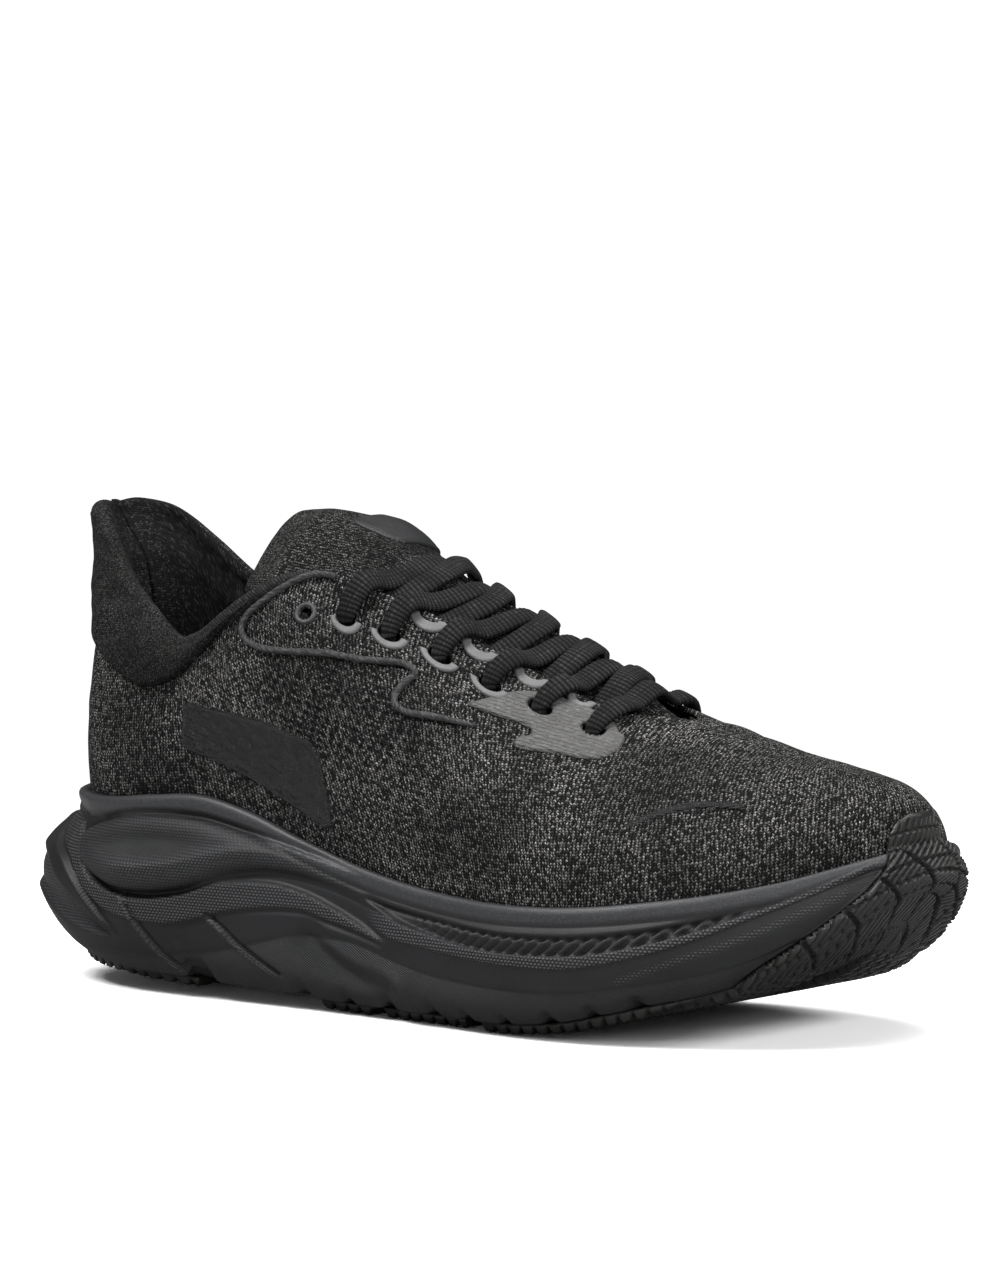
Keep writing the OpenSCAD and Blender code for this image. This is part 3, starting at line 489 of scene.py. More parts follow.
def two_skins(name, outer, inner, mat, mask=None, ring=False, open_top=None, **options):
    """Closed piece between two grids; mask[i, j] says which cells exist.
    ring joins the last row to the first; open_top marks rows left without a top wall."""
    n, k = outer.shape[:2]
    rows = n if ring else n - 1
    if mask is None:
        mask = np.ones((rows, k - 1), bool)

    def corners(i, j):
        here, there = i * k + j, ((i + 1) % n) * k + j
        return [here, there, there + 1, here + 1]

    cells = np.stack(corners(*np.nonzero(mask)), -1)
    faces = [cells, cells[:, [0, 3, 2, 1]] + n * k]
    padded = np.zeros((rows + 2, k + 1), bool)
    padded[1:-1, 1:-1] = mask
    if ring:
        padded[0, 1:-1], padded[-1, 1:-1] = mask[-1], mask[0]
    for di, dj, first, second in ((0, -1, 0, 1), (1, 0, 1, 2), (0, 1, 2, 3), (-1, 0, 3, 0)):
        edge = mask & ~padded[1 + di:1 + di + rows, 1 + dj:dj + k]
        if dj == 1 and open_top is not None:
            edge[:, -1] &= ~open_top
        corner = corners(*np.nonzero(edge))
        start, end = corner[first], corner[second]
        faces.append(np.stack([end, start, start + n * k, end + n * k], -1))
    return paired(name, outer, inner, np.concatenate(faces), mat, **options)


def sweep(name, path, out, half_w, half_t, mat, ns=16, power=2.0, ripple=0.0, red=None):
    """Capped tube of oval section along path, `out` giving the thickness direction.
    power squares the section, ripple is a twisted swell, red a mask value per ring."""
    n = len(path)
    along = unit(np.gradient(path, axis=0))
    wide = unit(np.cross(along, out))
    thick = np.cross(wide, along)
    ang = np.linspace(0, 2 * math.pi, ns, endpoint=False)
    cos, sin = (np.sign(q) * np.abs(q) ** (2 / power) for q in (np.cos(ang), np.sin(ang)))
    dist = steps_along(path)
    swell = 1 + ripple * np.sin(dist[:, None] * 2 * math.pi / 1.6 + ang * 2)
    pts = (path[:, None] + wide[:, None] * (half_w[:, None] * cos * swell)[..., None]
           + thick[:, None] * (half_t[:, None] * sin * swell)[..., None]).reshape(-1, 3)
    pts = np.concatenate([pts, path[:1] - along[:1] * half_t[0] * 0.5,
                          path[-1:] + along[-1:] * half_t[-1] * 0.5])
    girth = ang / (2 * math.pi) * 2 * (half_w.mean() + half_t.mean())
    tx = flat(*np.meshgrid(dist, girth, indexing="ij")).reshape(-1, 3)
    tx = np.concatenate([tx, tx[:1], tx[-1:]])
    mk = None if red is None else masks(np.r_[np.repeat(red, ns), 0, 0])
    i, j = np.arange(n - 1)[:, None], np.arange(ns)
    here, beside = i * ns + j, i * ns + (j + 1) % ns
    quads = np.stack([here, here + ns, beside + ns, beside], -1).reshape(-1, 4)
    beside = (j + 1) % ns
    last = (n - 1) * ns
    start_cap = np.stack([np.full(ns, n * ns), j, beside], -1)
    end_cap = np.stack([np.full(ns, n * ns + 1), last + beside, last + j], -1)
    return make(name, pts, quads, mat, tx, mk, np.concatenate([start_cap, end_cap]))


def rings_piece(name, rings, mat, tx, mk=None):
    """Stack of closed rings (k, n, 3), n even, closed by strips across at both ends."""
    k, n = rings.shape[:2]
    mid, top = n // 2, (k - 1) * n
    j, i = np.arange(k - 1)[:, None] * n, np.arange(n)
    here, beside = j + i, j + (i + 1) % n
    i = np.arange(1, mid - 1)
    quads = [np.stack([here, beside, beside + n, here + n], -1).reshape(-1, 4),
             np.stack([i, n - i, n - i - 1, i + 1], -1),
             np.stack([top + i, top + i + 1, top + n - i - 1, top + n - i], -1)]
    tris = [(0, n - 1, 1), (mid - 1, mid + 1, mid), (top, top + 1, top + n - 1),
            (top + mid, top + mid + 1, top + mid - 1)]
    return make(name, rings.reshape(-1, 3), np.concatenate(quads), mat, tx, mk, tris,
                recalc=True)


# ---------------------------------------------------------------- outlines in the plane
def in_poly(pts, poly):
    x, y = pts[:, 0], pts[:, 1]
    inside = np.zeros(len(pts), bool)
    for (x1, y1), (x2, y2) in zip(poly, np.roll(poly, -1, axis=0)):
        inside ^= ((y1 > y) != (y2 > y)) & (x < (x2 - x1) * (y - y1) / (y2 - y1 + 1e-12) + x1)
    return inside


def line_dist(pts, line):
    """Distance of points (..., 2) to an open line."""
    dist = np.full(pts.shape[:-1], 1e9)
    for start, end in zip(line[:-1], line[1:]):
        way = end - start
        t = np.clip(((pts - start) @ way) / max(way @ way, 1e-12), 0, 1)
        dist = np.minimum(dist, np.linalg.norm(pts - (start + t[..., None] * way), axis=-1))
    return dist


def loops_dist(pts, loops):
    """Distance to the nearest of several closed loops."""
    return np.min([line_dist(pts, np.concatenate([loop, loop[:1]])) for loop in loops], axis=0)


def inside_loops(pts, loops):
    """Inside the first loop and outside the others."""
    keep = in_poly(pts, loops[0])
    for loop in loops[1:]:
        keep &= ~in_poly(pts, loop)
    return keep


def triangulate(loops, res):
    """Points and triangles filling the first loop, with the others as holes."""
    low, high = loops[0].min(0) - res, loops[0].max(0) + res
    x, y = np.meshgrid(np.arange(low[0], high[0], res), np.arange(low[1], high[1], res * 0.87))
    x = x + (np.arange(x.shape[0]) % 2)[:, None] * res * 0.5
    fill = np.c_[x.ravel(), y.ravel()]
    fill = fill[inside_loops(fill, loops) & (loops_dist(fill, loops) > res * 0.55)]
    edges = []
    start = 0
    for loop in loops:
        n = len(loop)
        edges += [(start + i, start + (i + 1) % n) for i in range(n)]
        start += n
    verts = [Vector((float(a), float(b))) for a, b in np.concatenate(loops + [fill])]
    verts, _, faces, *_ = delaunay_2d_cdt(verts, edges, [], 0, 1e-6)
    pts = np.array([(vert.x, vert.y) for vert in verts])
    tris = np.array([face for face in faces if len(face) == 3])
    tris = tris[inside_loops(pts[tris].mean(1), loops)]
    tri = pts[tris]
    area = np.cross(tri[:, 1] - tri[:, 0], tri[:, 2] - tri[:, 0])
    tris[area < 0] = tris[area < 0][:, ::-1]
    return pts, tris


def film(name, loop, holes, mat, top, res, edge, side, replaces=(), relief=None):
    """Thin raised piece on the upper, with outline and holes given in (half, rise).
    top is its height, edge the width of its rounded border."""
    loop = np.asarray(loop, float)
    half, rise = loop.mean(0)
    step = 0.02
    scale = np.array([
        np.linalg.norm(upper(half + step, rise) - upper(half - step, rise)) / (2 * step),
        np.linalg.norm(upper(half, rise + step / 4) - upper(half, rise - step / 4)) / (step / 2)])
    loops = [spline(loop * scale, step=res, closed=True)]
    loops += [spline(np.asarray(hole) * scale, step=res * 0.7, closed=True) for hole in holes]
    pts, tris = triangulate(loops, res)
    dist = loops_dist(pts, loops)
    base = 0.05
    out = base + (top - base) * (0.25 + 0.75 * round_edge(dist / edge))
    if relief is not None:
        out = out + relief(pts[:, 0], pts[:, 1], dist)
    lap, rise = lap_on(pts[:, 0] / scale[0], side), pts[:, 1] / scale[1]
    at_rise = np.clip(rise, 0, 1)
    n = len(pts)
    edges = [(tri[i], tri[(i + 1) % 3]) for tri in tris.tolist() for i in range(3)]
    known = set(edges)
    walls = np.array([(b, a, a + n, b + n) for a, b in edges if (b, a) not in known])
    tris = np.concatenate([tris, tris[:, ::-1] + n])
    if side > 0:
        tris, walls = tris[:, ::-1], walls[:, ::-1]
    obj = paired(name, lift(lap, at_rise, out), lift(lap, at_rise, base), walls, mat, tris,
                 flat(*chart(lap, rise)), masks(np.clip(dist / 3, 0, 1)))
    put(obj, replaces)


# ---------------------------------------------------------------- shader graphs
class Value:
    """A socket in a node graph, so that patterns can be written as sums."""

    def __init__(self, graph, socket):
        self.graph, self.socket = graph, socket

    def __add__(self, other):
        return self.graph.math("ADD", self, other)

    def __sub__(self, other):
        return self.graph.math("SUBTRACT", self, other)

    def __rsub__(self, other):
        return self.graph.math("SUBTRACT", other, self)

    def __mul__(self, other):
        return self.graph.math("MULTIPLY", self, other)

    def __truediv__(self, other):
        return self.graph.math("DIVIDE", self, other)

    __radd__, __rmul__ = __add__, __mul__

    def abs(self):
        return self.graph.math("ABSOLUTE", self)

    def floor(self):
        return self.graph.math("FLOOR", self)

    def fract(self):
        return self.graph.math("FRACT", self)

    def pow(self, power):
        return self.graph.math("POWER", self, power)

    def min(self, other):
        return self.graph.math("MINIMUM", self, other)

    def max(self, other):
        return self.graph.math("MAXIMUM", self, other)

    def cell(self):
        """-0.5 to 0.5 over each whole cell."""
        return self.fract() - 0.5

    def tri(self):
        """0 in the middle of each whole cell, 1 at its edges."""
        return self.cell().abs() * 2.0

    def crown(self):
        """Parabola over a cell: 1 in the middle, 0 at the edges."""
        return 1.0 - (self * 2.0).pow(2.0)

    def ease(self, start, end, low=0.0, high=1.0):
        """Smooth step from low at start to high at end."""
        return self.graph.node("ShaderNodeMapRange",
                               {0: self, 1: start, 2: end, 3: low, 4: high},
                               interpolation_type="SMOOTHSTEP")


class Graph:
    """Node graph of a material or world; patterns are in mm."""

    def __init__(self, owner):
        owner.use_nodes = True
        self.owner, self.tree = owner, owner.node_tree
        self.tree.nodes.clear()

    def add(self, kind, inputs, **props):
        node = self.tree.nodes.new(kind)
        for key, value in props.items():
            setattr(node, key, value)
        for key, value in inputs.items():
            socket = node.inputs[key]
            if isinstance(value, Value):
                self.tree.links.new(value.socket, socket)
            else:
                if socket.type == "RGBA" and len(value) == 3:
                    value = tuple(value) + (1.0,)
                socket.default_value = value
        return node

    def node(self, kind, inputs, out=0, **props):
        return Value(self, self.add(kind, inputs, **props).outputs[out])

    def split(self, kind, value):
        return [Value(self, out) for out in self.add(kind, {0: value}).outputs[:3]]

    def math(self, kind, first, second=None):
        inputs = {0: first} if second is None else {0: first, 1: second}
        return self.node("ShaderNodeMath", inputs, operation=kind)

    def xyz(self, vec):
        return self.split("ShaderNodeSeparateXYZ", vec)

    def vec(self, x, y, z=0.0):
        return self.node("ShaderNodeCombineXYZ", {0: x, 1: y, 2: z})

    def chart_xy(self):
        return self.xyz(self.node("ShaderNodeAttribute", {}, 1, attribute_name="tx"))[:2]

    def masks(self):
        color = self.node("ShaderNodeAttribute", {}, attribute_name="mk")
        return self.split("ShaderNodeSeparateColor", color)

    def place(self):
        """Object position."""
        coord = self.node("ShaderNodeTexCoord", {}, 3)
        return self.node("ShaderNodeVectorMath", {0: coord, 3: 1000.0}, operation="SCALE")

    def noise(self, vec, scale, detail=2.0):
        return self.node("ShaderNodeTexNoise", {"Vector": vec, "Scale": scale,
                                                "Detail": detail, "Roughness": 0.5})

    def random(self, x, y, z=0.0):
        """One random value for each x, y, z."""
        return self.node("ShaderNodeTexWhiteNoise", {"Vector": self.vec(x, y, z)},
                         noise_dimensions="3D")

    def voronoi(self, vec, scale):
        return self.node("ShaderNodeTexVoronoi", {"Vector": vec, "Scale": scale}, feature="F1")

    def mix(self, factor, first, second):
        return self.node("ShaderNodeMix", {0: factor, 6: first, 7: second}, 2,
                         data_type="RGBA")

    def mix_shader(self, factor, first, second):
        return self.node("ShaderNodeMixShader", {0: factor, 1: first, 2: second})

    def principled(self, color, rough, spec, height=None, sheen=0.0):
        inputs = {"Base Color": color, "Roughness": rough, "Specular IOR Level": spec,
                  "Sheen Weight": sheen, "Sheen Roughness": 0.4, "Coat Weight": 0.0}
        if height is not None:
            inputs["Normal"] = self.node("ShaderNodeBump", {
                "Strength": 1.0, "Distance": 0.001, "Height": height})
        return self.node("ShaderNodeBsdfPrincipled", inputs)

    def output(self, shader, kind="ShaderNodeOutputMaterial"):
        self.add(kind, {0: shader})
        return self.owner

    def surface(self, *args, **options):
        return self.output(self.principled(*args, **options))


def new_graph(name):
    return Graph(bpy.data.materials.new(name))


def grey(level):
    return (level, level, level)


def scaled(color, factor):
    return tuple(part * factor for part in color)


# ---------------------------------------------------------------- materials
def knit(name, base, fleck, amount, px, py, depth, vee=0.55, open_mesh=False, wear=0.35,
         tone=(0.5, 1.5)):
    """Marled knit: columns of V-shaped stitches px by py with scattered pale filaments.
    base and fleck are the two yarn levels, amount the share of pale yarn, vee the slant
    of a stitch; open_mesh adds holes where the red mask is set."""
    g = new_graph(name)
    x, y = g.chart_xy()
    pos = g.place()
    wobble = g.noise(pos, scale=0.11, detail=1.0)
    x = x + (wobble - 0.5) * 1.3
    y = y + (wobble - 0.5) * 0.9
    # stitch cells
    col = (x / px).floor()
    cell_x = (x / px).cell()
    slanted = y / py + cell_x.abs() * (2 * vee) + (g.random(col, 3.0) - 0.5) * 0.3
    row = slanted.floor()
    cell_y = slanted.cell()
    stitch = cell_x.crown().max(0.0).pow(0.6) * cell_y.crown().max(0.0).pow(0.7)
    leg = (cell_x * 1000.0).max(0.0).min(1.0)
    # pale filaments
    pick = g.random(col, row, leg)
    level = g.random(row, col + 17.0, leg + 3.0)
    thread = g.noise(g.vec(x * 5.0, (y + cell_x.abs() * 0.9) * 1.4), scale=1.0)
    large = g.noise(pos, scale=0.03)
    limit = (1.0 - amount) + (large - 0.5) * 0.25
    lit = pick.ease(limit - 0.2, 1.0, 0.05, 1.0) * (0.4 + level * 0.6) * stitch.pow(1.9)
    lit = lit * thread.ease(0.38, 0.58, 0.12, 1.0)
    shade = large.ease(0.3, 0.7, tone[0], tone[1])
    color = g.mix((lit * shade).min(1.0), grey(base), scaled((1.0, 0.98, 0.95), fleck))
    height = stitch * depth + thread * 0.05
    if open_mesh:
        # staggered holes of uneven strength
        mask = g.masks()[0]
        hole_x, hole_y = x / 3.3, y / 2.7
        hole_row = hole_y.floor()
        hole_x = hole_x + (hole_row * 0.5).fract()
        dx = hole_x.cell() * 2.0
        dy = hole_y.cell() * 2.0
        uneven = g.random(hole_x.floor(), hole_row, 5.0)
        radius = dx * dx + dy * dy
        hole = (1.0 - radius.ease(0.10, 0.55)) * (uneven * 0.7 + 0.45).min(1.0) * mask
        color = g.mix(hole.min(1.0) * 0.93, color, grey(0.0035))
        height = height - hole * 0.55
    worn = g.noise(pos, scale=0.6, detail=3.0).ease(0.62, 0.8) * wear
    color = g.mix(worn * 0.35, color, grey(base * 2.6))
    return g.surface(color, 0.82 - lit * 0.25, spec=0.12, height=height)


def rib_lining(name):
    """Brushed rib lining: fine ribs, loops and short pale hairs."""
    base, fleck, rib, loop_len = 0.012, 0.10, 1.05, 0.7
    g = new_graph(name)
    x, y = g.chart_xy()
    wobble = g.noise(g.place(), scale=0.08, detail=1.0)
    x = x + (wobble - 0.5) * 1.6
    ribs = (x / rib).tri()
    col = (x / rib).floor()
    row = (y / loop_len + g.random(col, 1.0)).floor()
    cell = (y / loop_len + g.random(col, 1.0)).cell()
    pick = g.random(col, row, 2.0)
    loop = (1.0 - ribs * ribs) * cell.crown().max(0.0)
    hair = g.noise(g.vec(x * 4.0, y * 1.2), scale=1.0, detail=3.0)
    lit = pick.ease(0.5, 1.0) * loop * hair.ease(0.4, 0.65, 0.3, 1.0)
    color = g.mix(lit.min(1.0), grey(base), grey(fleck))
    dot = g.voronoi(g.vec(x, y), scale=0.42)
    color = g.mix(dot.ease(0.12, 0.35, 0.55, 0.0), color, grey(base * 0.35))
    height = loop * 0.25 + hair * 0.08 - dot.ease(0.1, 0.35, 0.25, 0.0)
    return g.surface(color, 0.9 - lit * 0.2, spec=0.1, height=height)


def moulded_foam(name):
    """Satin skin with fine grain, dotted and hatched bands from the masks, low scuffs."""
    g = new_graph(name)
    x, y = g.chart_xy()
    rim, dotted, hatched = g.masks()
    pos = g.place()
    # dots on a staggered lattice
    dot_x, dot_y = x / 1.25, y / 0.86
    dot_x = dot_x + (dot_y.floor() * 0.5).fract()
    dx, dy = dot_x.cell() * 2.0, dot_y.cell() * 2.0
    dot = 1.0 - (dx * dx + dy * dy).ease(0.15, 0.85)
    # fine diagonal lines
    line = 1.0 - ((x * 0.8 + y * 1.35) / 0.95).tri().ease(0.2, 0.9)
    grain = g.noise(pos, scale=3.2, detail=3.0)
    fine = g.noise(pos, scale=9.0)
    large = g.noise(pos, scale=0.035)
    color = g.mix(large.ease(0.3, 0.75), (0.0105, 0.0108, 0.012), (0.019, 0.0195, 0.0215))
    color = g.mix((dot * dotted * 0.9).min(1.0), color, (0.115, 0.115, 0.12))
    color = g.mix((line * hatched * 0.55).min(1.0), color, (0.07, 0.07, 0.074))
    speck = g.random((x * 3.3).floor(), (y * 3.3).floor(), 1.0).ease(0.72, 1.0)
    # the rim mask lightens the rolled rim band and paints a highlight on the crease lips
    color = g.mix((rim * (0.55 + speck * 0.45)).min(1.0), color, (0.082, 0.083, 0.088))
    # scuffs near the ground
    z = g.xyz(pos)[2]
    scuff = g.noise(pos, scale=0.35, detail=4.0).ease(0.55, 0.75) * (1.0 - z.ease(2.0, 26.0))
    color = g.mix(scuff * 0.4, color, (0.05, 0.047, 0.043))
    height = (dot * dotted * 0.42 + line * hatched * 0.2 + grain * 0.05 + fine * 0.03
              + speck * rim * 0.02)
    return g.surface(color, 0.43 - rim * 0.1 + grain * 0.12, spec=0.45, height=height)


def rubber(name, base=(0.013, 0.0125, 0.0118)):
    """Grained rubber: a painted highlight with a dusty tint on the sharp edges, dust, and painted
    shade that turns the grooves from the masks black.
    """
    g = new_graph(name)
    pos = g.place()
    grain = g.noise(pos, scale=4.5, detail=3.0)
    large = g.noise(pos, scale=0.07)
    edge = g.node("ShaderNodeNewGeometry", {}, 7).ease(0.53, 0.62)  # pointiness
    color = g.mix(large.ease(0.3, 0.7), base, scaled(base, 1.9))
    # painted highlight with a dusty tint on the sharp edges, found by pointiness
    color = g.mix(edge * 0.3, color, (0.06, 0.054, 0.048))
    dust = g.noise(pos, scale=0.5, detail=4.0).ease(0.56, 0.72)
    color = g.mix(dust * 0.25, color, (0.03, 0.027, 0.024))
    raised, _, cut = g.masks()
    groove = ((1.0 - raised) + cut).max(0.0).min(1.0)
    # painted shade: the grooves are darkened to near black
    color = g.mix(groove * 0.9, color, grey(0.0022))
    rough = 0.27 + grain * 0.16 + dust * 0.15 + groove * 0.3
    return g.surface(color, rough, spec=0.55, height=grain * 0.05)


def satin_film(name, col, rough=0.42, ribs=0.0, wear=0.5, rib_dir=(0.25, 1.0), blot=0.35):
    """Satin film: faint knit print-through, darker edge, scuffs and optional raised ribs.
    ribs is their pitch, rib_dir the way across them, blot the strength of dark patches."""
    g = new_graph(name)
    x, y = g.chart_xy()
    pos = g.place()
    edge = g.masks()[0]
    patch = g.noise(pos, scale=0.16, detail=3.0)
    grain = g.noise(pos, scale=1.1, detail=3.0)
    weave = (x / 1.12).cell().abs() * (y / 0.82).cell().abs() * 4.0
    color = g.mix(patch.ease(0.35, 0.65) * blot, col, scaled(col, 0.55))
    height = weave * 0.06 + grain * 0.05
    if ribs:
        wave = (x * rib_dir[0] + y * rib_dir[1] + (patch - 0.5) * 2.0) / ribs
        rib = 1.0 - wave.tri().ease(0.25, 0.95)
        broken = g.noise(g.vec(x * 0.9, y * 2.2), scale=1.0).ease(0.3, 0.6)
        # painted shade in the valleys between the raised ribs
        color = g.mix((1.0 - rib) * 0.62, color, scaled(col, 0.3))
        pick = g.random((x * 1.1).floor(), (y * 1.3).floor(), 3.0)
        color = g.mix(pick.ease(0.45, 1.0) * 0.35, color, scaled(col, 1.55))
        height = height + rib * broken * 0.38
    scuff = g.noise(g.vec(x * 0.5, y * 2.0), scale=1.0, detail=4.0).ease(0.6, 0.75) * wear
    color = g.mix(scuff * 0.5, color, scaled(col, 0.4))
    color = g.mix(edge.ease(0.0, 0.12, 0.55, 0.0), color, scaled(col, 0.45))
    return g.surface(color, rough + grain * 0.15, spec=0.5, height=height)


def cord(name, dark, lit, pitch, slant, rough):
    """Twisted or woven cord: helical yarns with scattered pale filaments."""
    g = new_graph(name)
    x, y = g.chart_xy()
    turn = (x + y * slant) / pitch
    yarn = turn.cell().crown()
    pick = g.random(turn.floor(), (y / 0.45).floor(), 1.0)
    thread = g.noise(g.vec(x * 2.0 + y * 6.0, y * 2.0), scale=1.0)
    pale = yarn.max(0.0) * pick.ease(0.15, 1.0, 0.15, 1.0) * thread.ease(0.3, 0.65, 0.3, 1.0)
    color = g.mix(pale.min(1.0), grey(dark), grey(lit))
    return g.surface(color, rough, spec=0.25, height=yarn * 0.16 + thread * 0.06)


LACE_RIB = 1.35  # pitch of the ribs across the lace


def woven_lace(name):
    """Flat woven lace: black yarn, lighter grey along the rib crowns set by the red mask."""
    yarn_width = 0.42
    g = new_graph(name)
    x, y = g.chart_xy()
    pos = g.place()
    crown = g.masks()[0]
    col = (y / yarn_width).floor()
    yarn = (y / yarn_width).cell().crown()
    pick = g.random((x / LACE_RIB).floor(), col, 2.0)
    thread = g.noise(g.vec(x * 3.5, y * 6.0), scale=1.0)
    large = g.noise(pos, scale=0.12)
    lit = (crown * (0.35 + 0.65 * yarn.max(0.0)) * thread.ease(0.3, 0.62, 0.25, 1.0)
           * large.ease(0.3, 0.7, 0.5, 1.2))
    color = g.mix(lit.min(1.0), grey(0.0020), grey(0.052))
    fleck = pick.ease(0.86, 1.0) * yarn.max(0.0) * crown
    color = g.mix((fleck * 0.6).min(1.0), color, grey(0.075))
    return g.surface(color, 0.74, spec=0.16, height=yarn * 0.10 + thread * 0.06)


def fabric(name, low, high, pitch, pores=0.0):
    """Woven or felted cloth between two colours; pores is the scale of foam cells."""
    g = new_graph(name)
    pos = g.place()
    x, y, z = g.xyz(pos)
    cloud = g.noise(pos, scale=0.5, detail=4.0)
    pick = g.random((x / pitch).floor(), (y / pitch).floor(), (z / pitch).floor())
    color = g.mix((cloud.ease(0.3, 0.7) * 0.6 + pick * 0.4).min(1.0), low, high)
    if pores:
        pore = g.voronoi(pos, scale=pores)
        color = g.mix(pore.ease(0.1, 0.5, 0.5, 0.0), color, scaled(low, 0.4))
        height = pore.ease(0.0, 0.5, -0.3, 0.1) + cloud * 0.1
    else:
        height = (x / pitch).tri() * (y / pitch).tri() * 0.2 + cloud * 0.1
    return g.surface(color, 0.85, spec=0.2, height=height, sheen=0.05)


KNIT = knit("knit_marl", base=0.0045, fleck=0.84, amount=0.54, px=1.08, py=0.82, depth=0.28,
            open_mesh=True, tone=(0.5, 1.25))
KNIT_TONGUE = knit("knit_tongue", base=0.0045, fleck=0.32, amount=0.54, px=1.02, py=0.78,
                   depth=0.28)
KNIT_HEEL = knit("knit_heel", base=0.0070, fleck=0.26, amount=0.6, px=0.62, py=0.5,
                 vee=0.35, depth=0.14, wear=0.2)
LINING = rib_lining("lining_rib")
FOAM = moulded_foam("foam_sole")
RUBBER = rubber("rubber_tread")
FILM = satin_film("film_silver", col=(0.20, 0.20, 0.203))
FILM_RIBBED = satin_film("film_ribbed", col=(0.17, 0.168, 0.163), ribs=1.35, wear=0.6)
FILM_DARK = satin_film("film_dark", col=(0.0085, 0.0087, 0.0092), rough=0.36, ribs=0.55,
                       rib_dir=(0.05, 1.0), blot=0.5, wear=0.3)
FILM_EYELET = satin_film("film_eyelet", col=(0.075, 0.075, 0.077), blot=0.3)
LABEL = satin_film("film_label", col=(0.016, 0.0165, 0.018), blot=0.4, wear=0.6)
PIPING = cord("cord_piping", dark=0.03, lit=0.20, pitch=0.7, slant=2.2, rough=0.45)
BINDING = cord("binding_twill", dark=0.008, lit=0.055, pitch=0.95, slant=0.8, rough=0.7)
LACE = woven_lace("lace_woven")
LACE_TIP = rubber("tip_plastic", base=(0.006, 0.006, 0.0065))
SOCK_CLOTH = fabric("sock_cloth", low=(0.010, 0.010, 0.011), high=(0.03, 0.03, 0.032),
                    pitch=0.8)
SOCK_FOAM = fabric("sock_foam_open", low=(0.03, 0.03, 0.033), high=(0.06, 0.06, 0.064),
                   pitch=1.0, pores=1.1)
PADDING = fabric("padding_foam", low=(0.45, 0.4, 0.25), high=(0.6, 0.55, 0.38), pitch=1.0,
                 pores=1.3)
BOARD = fabric("board_felt", low=(0.35, 0.33, 0.28), high=(0.5, 0.47, 0.41), pitch=0.6)
STIFFENER = fabric("stiffener_felt", low=(0.3, 0.28, 0.24), high=(0.42, 0.4, 0.34), pitch=0.5)


def put(obj, replaces=(), body="shoe", blend=False):
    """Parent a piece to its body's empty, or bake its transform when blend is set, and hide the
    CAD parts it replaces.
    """
    if blend:
        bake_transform(obj)
    else:
        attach(obj, body)
    if replaces:
        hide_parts(*replaces)


# ---------------------------------------------------------------- relief of the side wall
# A form holds grids over the wall: run, z, below (depth under the rim), the outward relief
# `out`, and the masks rim (the rim band and a painted crease highlight), dots and lines. Tables
# in these functions are (run, z).
def path_dist(form, points):
    return line_dist(np.stack([form.run, form.z], -1), spline(points, step=1.0))


def rim_band(run):
    """Height of the rolled band under the rim."""
    return 4.6 - 0.4 * ramp(120, 200, run) - 1.4 * ramp(300, 335, run)


def rolled_rim(form):
    below, high = form.below, rim_band(form.run)
    form.out += (0.9 * np.clip(1 - ((below - high * 0.5) / (high * 0.62)) ** 2, 0, 1)
                 - 0.45 * bell(below - high * 1.25, 0.9))
    form.rim = ramp(high * 1.25, high * 0.9, below)


def ankle_bulb(form):
    """Bulb behind the ankle that runs forward into a ridge, with an oval dent."""
    run, z = form.run, form.z
    top = curve([(56, 41), (59, 44.5), (62, 46.6), (68, 48.9), (78, 51), (88, 52.2), (98, 52.5),
                 (108, 52), (117, 50.8), (126, 49.2), (135, 47.4), (145, 45.2), (160, 41.8),
                 (175, 38)], run)
    low = curve([(56, 41), (59, 38.5), (62, 36.3), (66.4, 33.6), (74, 31), (82, 29.9), (92, 30),
                 (104, 32), (115, 35.3), (127, 38.4), (137, 39.2), (147, 38.4), (160, 36.2),
                 (175, 33.4)], run)
    inside = between(run, 57, 63, 118, 176)
    bulb = np.sin(np.pi * np.clip((z - low) / np.maximum(top - low, 0.5), 0, 1)) ** 0.55
    form.out += 3.6 * bulb * inside
    form.out -= 2.6 * bell(z - low + 0.6, 1.1) * between(run, 58, 66, 100, 118)
    form.out -= 0.9 * bell(z - top - 0.4, 0.9) * between(run, 58, 64, 120, 170)
    oval = ((run - 91) / 21.5) ** 2 + ((z - (42.2 + (run - 91) * 0.06)) / 4.2) ** 2
    form.out -= 2.3 * np.exp(-oval ** 1.6)
    ridge = curve([(66, 37.5), (75, 36.6), (92, 37.4), (101, 38.7), (110, 40.5), (119, 42),
                   (128, 43.2), (136, 43)], run)
    form.out += 0.9 * bell(z - ridge, 1.5) * between(run, 68, 84, 124, 144)
    dent = np.exp(-oval ** 1.2)
    form.dots += 0.45 * inside * np.clip(bulb * 1.3, 0, 1) * (1 - dent * 0.9)
    form.dots += 0.75 * bell(z - ridge, 1.8) * between(run, 72, 84, 110, 132)
    form.lines += 0.8 * dent * inside


